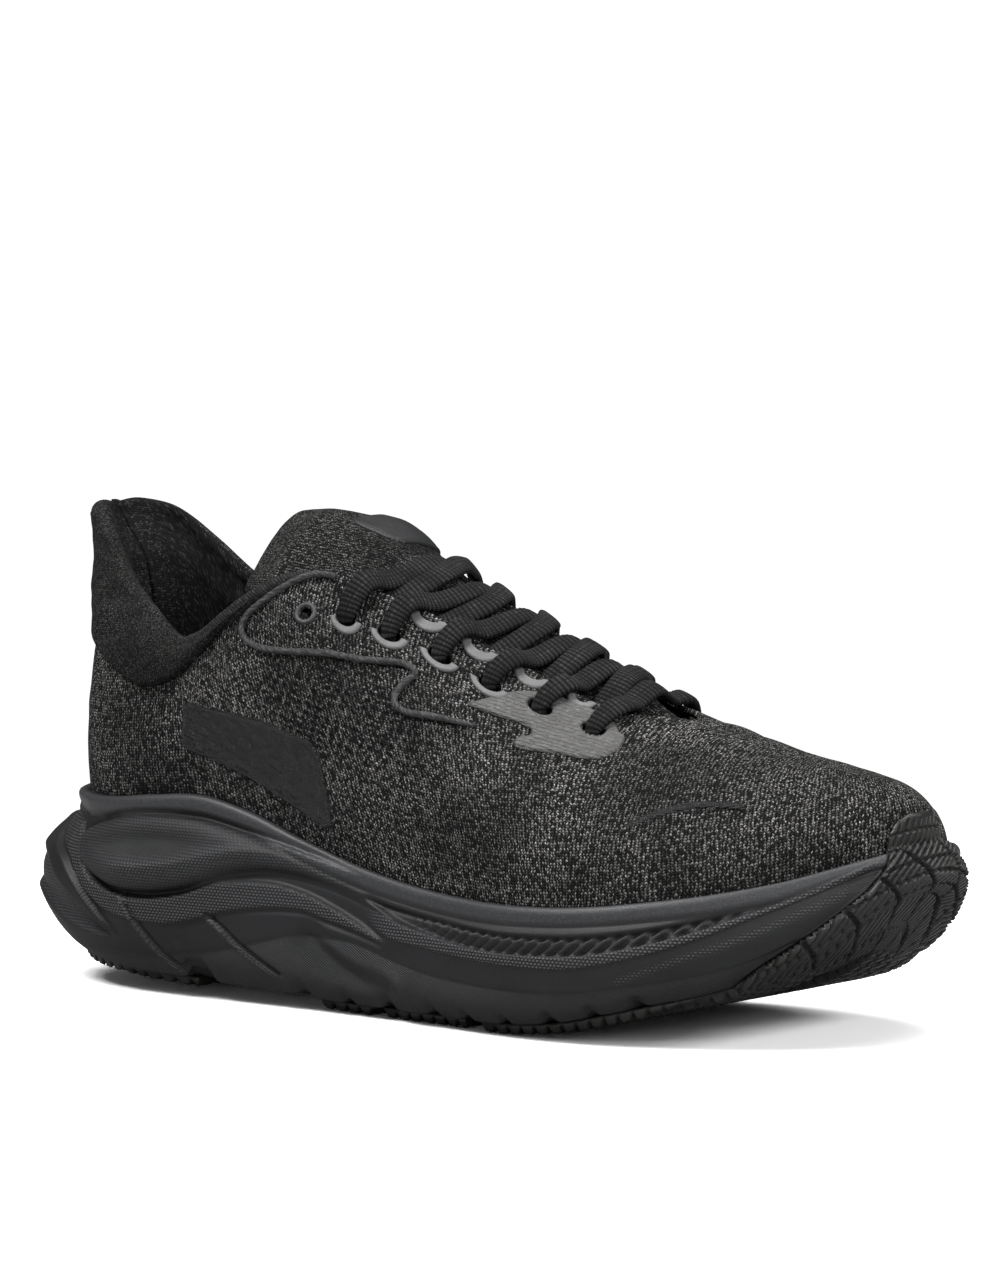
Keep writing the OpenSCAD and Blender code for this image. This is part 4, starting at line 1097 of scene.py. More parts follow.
def heel_tiers(form):
    """Two steps inward at the back of the heel, dotted between."""
    run, z, below = form.run, form.z, form.below
    low = curve([(0, 47), (20, 46.5), (32, 43.6), (40, 40.4), (51, 36.4), (58.6, 31),
                 (64.8, 25.7), (70.5, 21.1), (75.4, 18.2), (80.4, 16), (90, 13.5)], run)
    part = ramp(84, 66, run) * ramp(0.2, 5.5, below)
    form.out -= 1.5 * part * ramp(low - 0.3, low + 1.2, z)
    form.out -= 0.8 * part * bell(z - low - 0.9, 0.7)
    high = curve([(0, 53.4), (20, 52.6), (40, 50.8), (48, 49.4), (52.6, 47.6), (58.6, 42.8),
                  (62, 37)], run)
    part = ramp(60, 50, run) * ramp(0.2, 4.5, below)
    form.out -= 1.2 * part * ramp(high - 0.3, high + 1.0, z)
    form.out -= 0.6 * part * bell(z - high - 0.8, 0.7)
    form.dots += 0.6 * between(z, low + 1.2, low + 2.2, high - 1.0, high + 0.2) * ramp(
        62, 52, run)


def dotted_strip(form):
    """Dotted band under the bulb, and the smooth ribbon above its front part."""
    run, z = form.run, form.z
    top = curve([(40, 44), (52.6, 47.6), (58.6, 41), (62.4, 35.6), (66.4, 32.2), (71.3, 30),
                 (82, 28.4), (92, 28.6), (104, 30.6), (116, 34), (127, 35.4), (137, 35.6),
                 (147.4, 34), (156.5, 31.4), (170, 26.8), (182, 21.8)], run)
    low = curve([(40, 42), (51.2, 38.2), (58.6, 32.6), (64.8, 27.2), (72, 23.6), (82, 21.8),
                 (93.7, 21.2), (101, 21.7), (110, 23.6), (120, 26.3), (134, 28.4),
                 (148, 28.8), (157.5, 26.9), (171, 24.3), (182, 21.6)], run)
    band = between(z, low - 0.2, low + 0.9, top - 0.8, top + 0.3) * between(
        run, 46, 54, 176, 183)
    form.dots += 0.95 * band
    form.out += 0.55 * band
    form.out -= 0.5 * bell(z - low + 0.5, 0.8) * between(run, 90, 110, 176, 184)
    over = curve([(110, 36), (118, 37.4), (127, 38.2), (137, 38.6), (146.4, 37.6),
                  (155.5, 36.1), (165.7, 33.9), (176, 31), (186, 27)], run)
    ribbon = between(z, top, top + 0.8, over - 0.6, over + 0.4) * between(
        run, 112, 126, 170, 186)
    form.out -= 0.9 * ribbon
    form.out -= 0.6 * bell(z - over - 0.3, 0.7) * between(run, 112, 122, 165, 185)
    form.dots *= 1 - ribbon


def heel_scoop(form):
    """Scoop low on the heel."""
    run, z = form.run, form.z
    low = curve([(20, 27), (34, 26), (42, 22), (50, 18.6), (60, 16), (70, 15), (80, 14)], run)
    top = curve([(20, 38), (34, 37), (42, 34.4), (50, 30), (58, 25.6), (66, 21), (75, 17.4),
                 (80, 14.5)], run)
    scoop = between(z, low, low + 2.5, top - 2, top + 0.8) * ramp(82, 70, run)
    form.out -= 1.9 * scoop
    form.dots += 0.6 * scoop * ramp(10, 30, run)
    form.lines += 0.5 * scoop * ramp(30, 10, run)


def creases(form):
    """Two long creases with a raised lower lip, with a painted highlight along it."""
    for points in ([(81.5, 29), (84.7, 23.9), (88.3, 19.6), (95.5, 12.7), (102, 7.6)],
                   [(113.4, 25.4), (119.2, 21.8), (124.2, 17.9), (130, 14), (137.5, 9.8)]):
        form.out -= 1.8 * bell(path_dist(form, points), 0.62)
        lip = path_dist(form, [(run - 1.1, z - 0.4) for run, z in points])
        form.out += 0.7 * bell(lip, 0.5)
        # painted highlight along the lip, carried by the rim mask
        form.rim = np.maximum(form.rim, bell(lip + 0.1, 0.42))


def low_skirt(form):
    """Textured skirt near the ground, with a scoop under the arch."""
    run, z = form.run, form.z
    top = curve([(0, 11), (60, 12.6), (67, 12.5), (79, 11.5), (90, 11.9), (100, 13),
                 (110, 14.4), (125, 17.3), (142, 21.6), (154, 22.6), (170, 21.5), (185, 18),
                 (200, 15.6), (225, 14.2), (245, 14.4), (262, 16.8), (280, 20), (296, 24),
                 (315, 32)], run)
    form.lines += 0.85 * ramp(top + 0.6, top - 1.5, z) * ramp(300, 285, run)
    form.out -= 0.35 * ramp(top + 0.3, top - 0.3, z) * ramp(60, 75, run)
    form.out -= 1.7 * bell(path_dist(form, [(150, 21), (157, 16.5), (166, 12), (178, 9.5)]), 4.2)
    form.out += 0.9 * bell(path_dist(form, [(158, 21), (170, 16), (186, 12)]), 4.0)


def forefoot_groove(form):
    """Sharp groove in the forefoot that opens into slanted ribs over a dotted band."""
    run, z = form.run, form.z
    top = curve([(168, 34.9), (177, 33), (188, 31.4), (198, 30.3), (212, 29), (225, 28.5),
                 (246, 29.2), (265, 31.5), (279, 34.3), (295, 37.8), (312, 42)], run)
    low = curve([(168, 34.5), (177, 31.2), (188, 28), (204, 25.3), (216, 24), (227, 23.7),
                 (240, 24.1), (251, 25), (265, 27.7), (284, 32.8), (295, 37.0),
                 (312, 41.6)], run)
    groove = between(z, low - 0.2, low + 0.6, top - 0.5, top + 0.3) * between(
        run, 168, 176, 290, 306)
    ribs = ramp(0.25, 0.75, saw((run - 1.15 * (z - 26)) / 4.3)) * ramp(185, 200, run)
    form.out -= groove * (1.5 - 1.35 * ribs)
    form.out -= 1.0 * bell(z - top, 0.6) * between(run, 168, 173, 285, 300)
    form.lines *= 1 - groove
    band_low = curve([(168, 31), (179, 24.9), (198, 22.3), (215, 21), (230, 20.5), (247, 21),
                      (267, 25.2), (284, 30.5), (295, 34.7), (315, 42), (333, 48.6)], run)
    band_top = curve([(168, 33.5), (179, 29.6), (204, 25.2), (216, 24), (227, 23.7),
                      (240, 24.1), (251, 25), (265, 27.7), (284, 32.8), (295, 36.6),
                      (315, 43.6), (333, 50)], run)
    band = between(z, band_low - 0.2, band_low + 0.5, band_top - 0.5, band_top + 0.3) * between(
        run, 170, 184, 328, 338)
    form.out += 0.65 * band
    form.dots += 1.25 * band
    high = rim_band(run)
    form.lines += (0.55 * ramp(top + 0.2, top + 1.2, z)
                   * ramp(high + 1.6, high + 2.6, form.below) * ramp(160, 190, run))
    # fine dotted line above the tread
    line = path_dist(form, [(262, 18.5), (279, 25), (296.4, 31.1), (310.2, 36.8),
                            (324.1, 42.5)])
    form.dots += 0.5 * bell(line, 0.9)


def sculpt(run, z, below):
    form = SimpleNamespace(run=run, z=z, below=below, out=np.zeros_like(run),
                           dots=np.zeros_like(run), lines=np.zeros_like(run))
    for part in (rolled_rim, ankle_bulb, heel_tiers, dotted_strip, heel_scoop, creases,
                 low_skirt, forefoot_groove):
        part(form)
    form.rim = np.clip(form.rim, 0, 1)
    form.dots = np.clip(form.dots, 0, 1.3)
    form.lines = np.clip(form.lines, 0, 1)
    return form


# ---------------------------------------------------------------- foam sole and rubber
def foot_raise(run):
    """How far the bottom edge lifts at each gap between the feet of the sole."""
    out = 3.6 * between(run, 100.5, 104, 108.5, 113)
    # (run, width, height)
    for at, width, height in ((144.5, 2.6, 2.0), (161, 1.6, 1.6), (176.5, 2.0, 2.2),
                              (194, 1.8, 1.6), (207, 1.6, 1.4), (222, 1.6, 1.4),
                              (238, 1.8, 1.8), (252, 1.6, 1.6), (266, 2.0, 2.0)):
        out += height * bell(run - at, width)
    return out


def toe_reach(label):
    labels, reach = np.transpose(TOE_REACH)
    return np.interp(label, labels, reach)


def sole_underside(edge):
    """Rings from the spine out to the bottom edge, with a long channel and cross grooves."""
    middle = spine(edge[:, 0], -112, 104)
    rings = []
    for inward in (0.97, 0.93, 0.88, 0.82, 0.76, 0.7, 0.64, 0.58, 0.52, 0.46, 0.4, 0.34, 0.28,
                   0.22, 0.16, 0.11, 0.07, 0.035, 0.012):
        plan = edge[:, :2] * (1 - inward) + middle * inward
        x = plan[:, 0]
        joined = ramp(0.0, 0.12, inward)
        z = bottom_z(x + 3 * ramp(100, 140, x)) * joined + edge[:, 2] * (1 - joined)
        off = plan[:, 1] - centre_y(x)
        groove = 3.2 * bell(off, 7.5) * between(x, -128, -112, 78, 100)
        for at in (-84, -40, -6, 34, 54, 72, 90):
            groove += 2.2 * bell(x - at + 0.12 * off, 1.8)
        groove += 2.2 * between(x, -60, -40, 0, 22) * ramp(0.25, 0.6, inward)
        rings.append(np.c_[plan, z + groove * ramp(0.0, 0.2, inward)])
    return rings


def build_sole():
    n = 760
    lap = np.arange(n) * (LAPS / n)
    walls = np.r_[np.linspace(0, 0.06, 6)[:-1], np.linspace(0.06, 1, 78)]
    laps, wall = np.meshgrid(lap, walls, indexing="ij")
    pts = wall_at(laps, wall)
    run = run_at(laps)
    form = sculpt(run, pts[..., 2], pts[:, -1:, 2] - pts[..., 2])
    # under the toe rubber the foam is plain
    into = toe_reach(wall * RIM_LABEL) - (TOE_RUN - run)
    under = ramp(-0.3, 0.9, into)
    out = form.out * (1 - under) - 0.5 * under
    out += 0.4 * bell(into + 1.3, 0.8) * ramp(290, 300, run)
    out *= ramp(-0.001, 0.05, wall) * (1 - 0.85 * ramp(0.985, 1, wall))
    pts = pts + wall_normal(laps, wall) * out[..., None]
    pts[..., 2] += foot_raise(run) * ramp(0.16, 0.0, wall)
    # top lip and footbed side
    lip = lip_height(lap) - 0.3
    top = [bed(lap, -0.9, lip + 0.25), bed(lap, -0.6, lip), bed(lap, 0.2, lip * 0.4),
           bed(lap, 3.2, 0.8), bed(lap, 8, 0.4)]
    low = sole_underside(pts[:, 0])
    rings = np.concatenate([low, pts.transpose(1, 0, 2), top])
    wall_mk = masks(form.rim, form.dots * (1 - under), form.lines * (1 - under))
    mk = np.concatenate([masks(np.zeros((len(low), n)), blue=0.5), wall_mk.transpose(1, 0, 2),
                         masks(np.zeros((len(top), n)))])
    tx = flat(0 * rings[..., 0] + run_at(lap), rings[..., 2])
    tx[:len(low), :, :2] = rings[:len(low), :, :2]
    put(rings_piece("sole_foam", rings, FOAM, tx, mk), ["midsole"])


def tread_pod(place, lap_a, lap_b, across_a, across_b):
    """Rubber pod under the foam: blocks cut by slanted grooves, with a tapered edge.
    across runs from 0 at the lateral bottom edge to 1 at the medial one."""
    long = float(run_at(lap_b)) - float(run_at(lap_a))
    middle = lap_a * 0.5 + lap_b * 0.5
    span = (wall_at(middle, 0) - wall_at(LAPS - middle, 0))[:2]
    wide = np.linalg.norm(span) * abs(across_b - across_a)
    n, k = max(24, int(long / 0.62)), max(16, int(wide / 0.7))
    lap = np.linspace(lap_a, lap_b, n)
    part = np.linspace(across_a, across_b, k)[None, :, None]
    pts = wall_at(lap, 0.0)[:, None] * (1 - part) + wall_at(LAPS - lap, 0.0)[:, None] * part
    x, y = np.meshgrid(np.linspace(0, long, n), np.linspace(0, wide, k), indexing="ij")
    border = np.minimum(np.minimum(x, long - x), np.minimum(y, wide - y))
    taper = round_edge(border / 1.6)
    # wide slanted grooves, lengthwise grooves, and shallow fine cuts
    lug = 1 - np.maximum(ramp(0.62, 0.84, saw((x + y * 0.35) / 4.7)),
                         ramp(0.78, 0.92, saw((y + 0.1 * x) / 7.6)))
    cut = ramp(0.86, 0.98, saw((x - y * 0.9) / 2.35))
    height = (1.1 + 1.75 * lug * (1 - 0.25 * cut)) * (0.25 + 0.75 * taper)
    inner = pts.copy()
    inner[..., 2] -= 0.15
    outer = pts.copy()
    outer[..., 2] = np.maximum(pts[..., 2] - 0.3 - height, 0.0)
    # the rubber material paints shade in the grooves, where the lug mask is low
    obj = two_skins("tread_" + place, outer, inner, RUBBER, tx=flat(x, y),
                    mk=masks(lug, taper), recalc=True)
    put(obj, ["outsole_" + place])


def toe_rubber_surface(lap):
    """Grid of points from under the toe over the rim onto the upper, and row labels."""
    rows, labels = [], []
    edge, normal = outline(lap)
    for inward in (15, 12, 9, 6, 3, 1):
        row = wall_at(lap, 0.0, -inward)
        row[:, 2] = bottom_z(edge[:, 0] - normal[:, 0] * inward * 1.2) - 0.3
        rows.append(row)
        labels.append(-inward)
    for wall in (0.0, 0.1, 0.22, 0.35, 0.5, 0.65, 0.8, 0.92, 1.0):
        rows.append(wall_at(lap, wall, 0.2))
        labels.append(wall * RIM_LABEL)
    rows.append(wall_at(lap, 1.0) * 0.4 + lift(lap, 0.09, 0.3) * 0.6 + [0, 0, 0.25])
    labels.append(47.5)
    for rise in (0.14, 0.2, 0.26, 0.32, 0.38, 0.44):
        rows.append(lift(lap, rise, 0.35))
        labels.append(49 + (rise - 0.12) * 60)
    rows = np.array(rows)
    dist = np.r_[0, np.cumsum(np.linalg.norm(np.diff(rows, axis=0), axis=2).mean(1))]
    fine = np.arange(0, dist[-1], 0.42)
    dense = hermite(np.c_[dist, rows.reshape(len(dist), -1)], fine)
    return (dense.reshape(len(fine), len(lap), 3).transpose(1, 0, 2),
            np.interp(fine, dist, labels))


def build_toe_rubber():
    lap = np.linspace(8.9, 13.1, 350)
    pts, labels = toe_rubber_surface(lap)
    tip = (TOE_RUN - run_at(lap)) * np.where(lap <= TOE, 1.0, -1.0)  # signed, from the tip
    tip, label = np.meshgrid(tip, labels, indexing="ij")
    edge = np.minimum(toe_reach(label) - np.abs(tip), 67.5 - label)
    edge = np.minimum(edge, label + 15.0)
    taper = round_edge(edge / 1.8)
    # fine slanted grooves
    wave = (tip * 0.95 + (label - 20) * 0.5) / 2.7
    fine = ramp(0.62, 0.3, np.abs(wave - np.round(wave)) * 2.7)
    # curved cross grooves, then upright ones
    deep = np.zeros_like(tip)
    for at in (-7.0, 2.5, 12.0, 22.5, 33.5, 45.5):
        bow = np.abs(label - at - 3.5 * np.cos(tip / 15.0) + 3.5)
        deep = np.maximum(deep, ramp(0.95, 0.4, bow))
    for at in (-42, -28, -14, 0.5, 14, 28, 42):
        lean = np.abs(tip - at - 0.35 * (label - 20))
        deep = np.maximum(deep, ramp(0.85, 0.35, lean) * ramp(46, 44, label))
    # slits on the flap over the upper
    flap = ramp(48, 50, label)
    wave = (tip + (label - 55) * 0.25) / 2.6
    slits = (ramp(0.5, 0.22, np.abs(wave - np.round(wave)) * 2.6)
             * ramp(51.5, 52.2, label) * ramp(64.6, 64, label))
    bow = ramp(0.8, 0.35, np.abs(label - 58.6 + 1.6 * (tip / 12.0) ** 2))
    slits = np.maximum(slits, bow)
    height = 2.05 - 0.75 * flap
    height = height - 1.15 * fine * (1 - flap) - 1.5 * deep * (1 - 0.8 * flap) - 0.8 * slits
    height += 0.35 * bell(label - 47.5, 1.6)
    height = np.maximum(height, 0.25) * (0.2 + 0.8 * taper)
    normal = surface_normals(pts)
    outer = pts + normal * (height + 0.05)[..., None]
    outer[..., 2] = np.maximum(outer[..., 2], 0.1)
    mask = (edge[:-1, :-1] + edge[1:, :-1] + edge[:-1, 1:] + edge[1:, 1:]) / 4 > 0
    # the rubber material paints shade in the fine grooves, slits and deep grooves these masks
    # mark
    mk = masks(1 - np.maximum(fine * (1 - flap), slits), taper, deep * (1 - flap))
    obj = two_skins("toe_rubber", outer, pts - normal * 0.15, RUBBER, mask,
                    tx=flat(tip, label), mk=mk)
    put(obj, ["outsole_toe"])


# ---------------------------------------------------------------- knit upper
def open_zone(half, rise):
    """1 inside the opened-up part of the knit on the quarters."""
    zone = np.array([(4.75, 0.70), (5.35, 0.70), (6.05, 0.70), (6.3, 0.52), (6.1, 0.36),
                     (5.3, 0.38), (4.7, 0.5)])
    at = np.c_[half.ravel(), rise.ravel()]
    to_mm = [34, 92]
    dist = loops_dist(at * to_mm, [zone * to_mm])
    return ramp(-7, 7, np.where(in_poly(at, zone), dist, -dist)).reshape(half.shape)


def eyelet_radii(at, radii):
    """The first eyelet of the upper is smaller than the rest."""
    scale = 0.72 if at == EYELETS[0] else 1.0
    return radii[0] * scale, radii[1] * scale


UPPER_HOLE = (0.076, 0.029)  # eyelet radii in (half, rise)


def snap_eyelets(lap, rise, hole):
    """Move the points on the border of each hole onto its oval."""
    beside_hole = np.zeros(lap.shape, bool)
    beside_cloth = np.zeros(lap.shape, bool)
    cells = hole.shape[1]
    for di in (0, 1):
        for dj in (0, 1):
            beside_hole[:, dj:dj + cells] |= np.roll(hole, di, 0)
            beside_cloth[:, dj:dj + cells] |= np.roll(~hole, di, 0)
    border = beside_hole & beside_cloth
    for half in EYELETS:
        rx, ry = eyelet_radii(half, UPPER_HOLE)
        for side, _ in SIDES:
            at = lap_on(half, side)
            dx, dy = (lap - at) / rx, (rise - EYELET_RISE) / ry
            radius = np.hypot(dx, dy)
            near = border & (radius < 2) & (np.abs(lap - at) < 0.3)
            radius = np.maximum(radius, 1e-6)
            lap = np.where(near, at + dx / radius * rx, lap)
            rise = np.where(near, EYELET_RISE + dy / radius * ry, rise)
    return lap, rise


def build_upper():
    n, k = 660, 98
    lap = np.arange(n) * (LAPS / n)
    laps, rise = np.meshgrid(lap, np.linspace(0, 1, k), indexing="ij")
    half = fold(laps)[0]
    ahead = np.roll(half, -1, 0)
    cell_half = (ahead[:, :-1] + half[:, :-1] + ahead[:, 1:] + half[:, 1:]) / 4
    cell_rise = (rise[:, :-1] + rise[:, 1:]) / 2
    hole = np.zeros(cell_half.shape, bool)
    for at in EYELETS:
        rx, ry = eyelet_radii(at, UPPER_HOLE)
        hole |= np.hypot((cell_half - at) / rx, (cell_rise - EYELET_RISE) / ry) < 1
    laps, rise = snap_eyelets(laps, rise, hole)
    half = fold(laps)[0]
    base = upper(laps, rise)
    normal = upper_normal(laps, rise)
    out = soft(base) * ramp(0.0, 0.1, rise) + 0.05
    # shallow flex folds over the toe break and a crease ahead of the throat
    out = out + (0.45 * bell(half - 8.15, 0.13) * ramp(0.35, 0.9, rise)
                 - 0.35 * bell(half - 8.4, 0.12) * ramp(0.45, 1.0, rise)
                 + 0.3 * bell(half - 8.68, 0.13) * ramp(0.5, 1, rise))
    out = out - 0.35 * bell(half - 7.93 - 0.12 * (1 - rise) * 8, 0.018) * ramp(0.93, 0.97, rise)
    # the toe puff edge shows as a soft step
    out = out + 0.25 * ramp(9.6, 9.8, half) * ramp(0.42, 0.36, rise)
    outer = base + normal * out[..., None]
    inner = base + normal * (out - 1.35)[..., None]
    # one turned-in row at the feather line
    turned = lip_height(lap) * 0.35
    outer = np.concatenate([bed(lap, 0.9, turned)[:, None], outer], 1)
    inner = np.concatenate([bed(lap, 2.2, turned)[:, None], inner], 1)
    tx = flat(*chart(laps, rise))
    tx = np.concatenate([tx[:, :1] - [0, 3, 0], tx], 1)
    mk = masks(open_zone(half, rise))
    mk = np.concatenate([mk[:, :1], mk], 1)
    # the knit stops under the heel cloth
    mask = np.ones((n, k), bool)
    mask[:, 1:] = ~hole & ~((cell_half < 2.25) & (cell_rise > 0.64))
    obj = two_skins("upper_knit", outer, inner, KNIT, mask, ring=True,
                    open_top=cell_half[:, -1] > THROAT_END - 0.01, tx=tx, mk=mk, merge=0.004)
    put(obj, ["upper_mesh"], blend=True)


def pad_depth(half, rise):
    """Depth of the padding inside the collar, and inside the tab behind it."""
    tab = ramp(2.6, 2.2, half)
    collar = 1 + 4 * between(rise, 0.45, 0.65, 0.85, 0.97) * ramp(4.8, 3.9, half)
    return collar * (1 - tab) + (1 + 4 * ramp(0.97, 0.8, rise)) * tab


def build_collar():
    """Heel cloth in one wrap: outer panel, rolled top and the lining down to the footbed."""
    n = 340
    signed = np.linspace(-4.85, 4.85, n)
    half, lap = np.abs(signed), signed % LAPS
    low = curve(WRAP_EDGE, half)
    roll_rise = 0.972
    along = chart(lap, 0 * lap)[0] * np.sign(signed + 1e-9)
    roll_height = chart(lap, 0 * lap + roll_rise)[1]
    cols, charts = [], []
    # outer panel, puffed in the middle
    panel = np.linspace(0, 1, 34) ** 0.9
    for part in panel:
        rise = low + (roll_rise - low) * part
        base = upper(lap, rise)
        out = 0.35 + 1.75 * round_edge(part * (roll_rise - low) * 95 / 2.6)
        out = out + 1.5 * np.sin(np.pi * part) ** 0.8 * between(half, 0.6, 2.4, 3.5, 4.3)
        out = out + 0.5 * np.sin(np.pi * part) + soft(base, seed=5, size=0.35, scale=22)
        # gathered crease below the top edge at the side of the tab
        out = out - (1.1 * bell(half - 2.35 - (part - 0.62) * 1.2, 0.16)
                     * between(part, 0.45, 0.7, 0.86, 1))
        cols.append(base + upper_normal(lap, rise) * out[:, None])
        charts.append(flat(along, chart(lap, rise)[1]))
    # rolled top
    out_face, in_face = 2.0, -(3.0 + pad_depth(half, roll_rise))
    middle, radius = (out_face + in_face) / 2, (out_face - in_face) / 2
    base = upper(lap, roll_rise)
    normal = upper_normal(lap, roll_rise)
    up = unit(base - upper(lap, roll_rise - 0.03))
    for turn in np.linspace(0, math.pi, 15)[1:-1]:
        cols.append(base + normal * (middle + radius * math.cos(turn))[:, None]
                    + up * (math.sin(turn) * np.minimum(radius, 2.9))[:, None])
        charts.append(flat(along, roll_height + turn * 2.6))
    # lining down to the footbed
    down = np.linspace(roll_rise, 0.0, 60)
    for rise in down:
        base = upper(lap, rise)
        near_bed = ramp(0.5, 0.3, rise)
        out = (-(3.0 + pad_depth(half, rise)) + 0.6 * near_bed
               + soft(base, seed=8, size=0.3, scale=20) * (1 - near_bed))
        cols.append(base + upper_normal(lap, rise) * out[:, None])
        charts.append(flat(along, 2 * roll_height - chart(lap, 0 * lap + rise)[1] + 8.2))
    cols.append(bed(lap, 5.6, 3.2))
    charts.append(charts[-1] + [0, 5, 0])
    pts = np.stack(cols, 1)
    k = pts.shape[1]
    thick = np.full(k, 0.95)
    thick[-61:-1] -= 0.5 * ramp(0.5, 0.3, down)
    thick[-1] = 0.45
    inner = pts - surface_normals(pts) * thick[None, :, None]
    obj = two_skins("collar_cloth", pts, inner, KNIT_HEEL, tx=np.stack(charts, 1))
    # the lining starts inside the roll, on both skins
    obj.data.materials.append(LINING)
    lined = np.tile(np.arange(k - 1) >= len(panel) + 7, 2 * (n - 1))
    index = np.zeros(len(obj.data.polygons), np.int32)
    index[:len(lined)] = lined
    obj.data.polygons.foreach_set("material_index", index)
    put(obj, ["heel_cover_lateral", "heel_cover_medial", "tab_cover",
                           "collar_lining", "tab_lining"], blend=True)


def build_collar_padding():
    signed, rise = np.meshgrid(np.linspace(-4.7, 4.7, 150), np.linspace(0.5, 0.965, 24),
                               indexing="ij")
    half, lap = np.abs(signed), signed % LAPS
    behind = (rise >= curve(WRAP_EDGE, half) + 0.02) & (half < 2.3)
    inward = -(1.6 + pad_depth(half, rise))
    obj = two_skins("collar_padding", lift(lap, rise, np.where(behind, 0.2, -1.5)),
                    lift(lap, rise, np.minimum(inward + 0.5, -1.9)), PADDING)
    put(obj, ["collar_foam", "tab_foam"], blend=True)


def build_binding(side, place):
    """Rolled binding along the top edge of the collar."""
    half = np.linspace(3.55, 5.33, 260)
    lap = lap_on(half, side)
    normal = upper_normal(lap, 0.985)
    up = unit(upper(lap, 1) - upper(lap, 0.97))
    grow = ramp(3.55, 3.95, half) * (1 - 0.35 * ramp(5.1, 5.33, half))
    radius = 0.7 + 1.75 * grow
    out = 0.6 * ramp(5.0, 4.5, half) * grow - (0.6 + 0.7 * ramp(4.8, 4.0, half))
    path = upper(lap, 0.985) + normal * out[:, None] + up * (0.5 * grow)[:, None]
    obj = sweep("binding_" + place, path, normal, radius * 1.02, radius * 1.08, BINDING,
                ns=22, ripple=0.025)
    put(obj, ["collar_binding_" + place], blend=True)


def build_vamp_lining():
    lap, rise = np.meshgrid(np.linspace(4.8, LAPS - 4.8, 420), np.linspace(0, 1, 50),
                            indexing="ij")
    half = fold(lap)[0]
    cell_half = (half[:-1, :-1] + half[1:, :-1]) / 2
    cell_rise = (rise[:-1, :-1] + rise[:-1, 1:]) / 2
    hole = (cell_rise > 0.93) & (cell_half < 7.7)
    for at in EYELETS:
        hole |= np.hypot((cell_half - at) / 0.1, (cell_rise - EYELET_RISE) / 0.04) < 1
    out = -KNIT_DEPTH - 0.1 - ramp(9.2, 9.8, half)
    obj = two_skins("vamp_lining", lift(lap, rise, out), lift(lap, rise, out - 0.85), LINING,
                    ~hole, open_top=cell_half[:, -1] > THROAT_END - 0.01,
                    tx=flat(*chart(lap, rise)), merge=0.004)
    put(obj, ["upper_lining"])


# ---------------------------------------------------------------- films, piping and badges
# Points are (half, rise).
THROAT_LOOP = [
    (6.62, 0.732), (6.70, 0.775), (6.80, 0.83), (6.90, 0.885), (7.02, 0.925), (7.16, 0.945),
    (7.33, 0.955), (7.50, 0.93), (7.58, 0.88), (7.66, 0.84), (7.66, 0.78), (7.60, 0.735),
    (7.45, 0.712), (7.28, 0.695), (7.10, 0.662), (6.98, 0.652), (6.98, 0.69), (7.06, 0.725),
    (7.05, 0.752), (6.94, 0.752), (6.80, 0.74)]
PIPING_PATH = [
    (5.56, 0.985), (5.47, 0.99), (5.35, 0.985), (5.15, 0.967), (4.9, 0.942), (4.78, 0.925),
    (4.73, 0.883), (4.8, 0.82), (4.98, 0.767), (5.33, 0.733), (5.75, 0.725), (6, 0.745),
    (6.18, 0.765), (6.25, 0.745), (6.18, 0.7), (6.1, 0.645), (6.1, 0.612), (6.2, 0.6),
    (6.43, 0.625), (6.7, 0.66)]


def oval(half, rx, ry):
    t = np.radians(np.arange(0, 360, 15))
    return np.c_[half + rx * np.cos(t), EYELET_RISE + ry * np.sin(t)]


def ring_part(half, inner, outer, start, end, rise=EYELET_RISE):
    """Outline of part of an oval ring between two angles in degrees."""
    t = np.radians(np.linspace(start, end, 22))
    back = t[::-1]
    return np.concatenate([
        np.c_[half + outer[0] * np.cos(t), rise + outer[1] * np.sin(t)],
        np.c_[half + inner[0] * np.cos(back), rise + inner[1] * np.sin(back)]])


def eyelet_films(side, place):
    """A full ring round the first eyelet, open loops under the next four."""
    film(f"film_{place}_0_piece", oval(EYELETS[0], 0.098, 0.037),
         [oval(EYELETS[0], 0.058, 0.022)], FILM_EYELET, top=0.8, res=0.4, edge=0.6, side=side,
         replaces=[f"film_{place}_0"])
    for i in range(1, 5):
        loop = ring_part(EYELETS[i], (0.082, 0.030), (0.132, 0.058), -176, -4)
        film(f"film_{place}_{i}_piece", loop, [], FILM, top=0.8, res=0.42, edge=0.6, side=side,
             replaces=[f"film_{place}_{i}"])


def edge_films(side, place):
    """Open loops of film at the throat edge, where the straps come up from below."""
    for i, (half, width) in enumerate(((6.25, 0.125), (6.59, 0.12), (6.93, 0.115),
                                       (7.25, 0.09))):
        loop = ring_part(half, (width * 0.52, 0.022), (width, 0.066), -182, 2, rise=0.988)
        film(f"edge_film_{place}_{i}", loop, [], FILM, top=0.7, res=0.42, edge=0.6, side=side)


def throat_film(side, place):
    holes = [oval(half, 0.08, 0.031) for half in EYELETS[5:]]
    film(f"throat_film_{place}_piece", THROAT_LOOP, holes, FILM_RIBBED, top=0.75, res=0.7,
         edge=0.5, side=side, replaces=[f"throat_film_{place}"])


def piping(side, place):
    path = spline(PIPING_PATH, count=14)
    lap, rise = lap_on(path[:, 0], side), np.minimum(path[:, 1], 0.99)
    radius = np.full(len(lap), 0.98)
    radius[:8] *= np.linspace(0.7, 1, 8)
    radius[-14:] *= np.linspace(1, 0.55, 14)
    obj = sweep(f"piping_{place}_piece", lift(lap, rise, 0.95), upper_normal(lap, rise),
                radius, radius * 0.95, PIPING, ns=14)
    put(obj, [f"piping_{place}"])


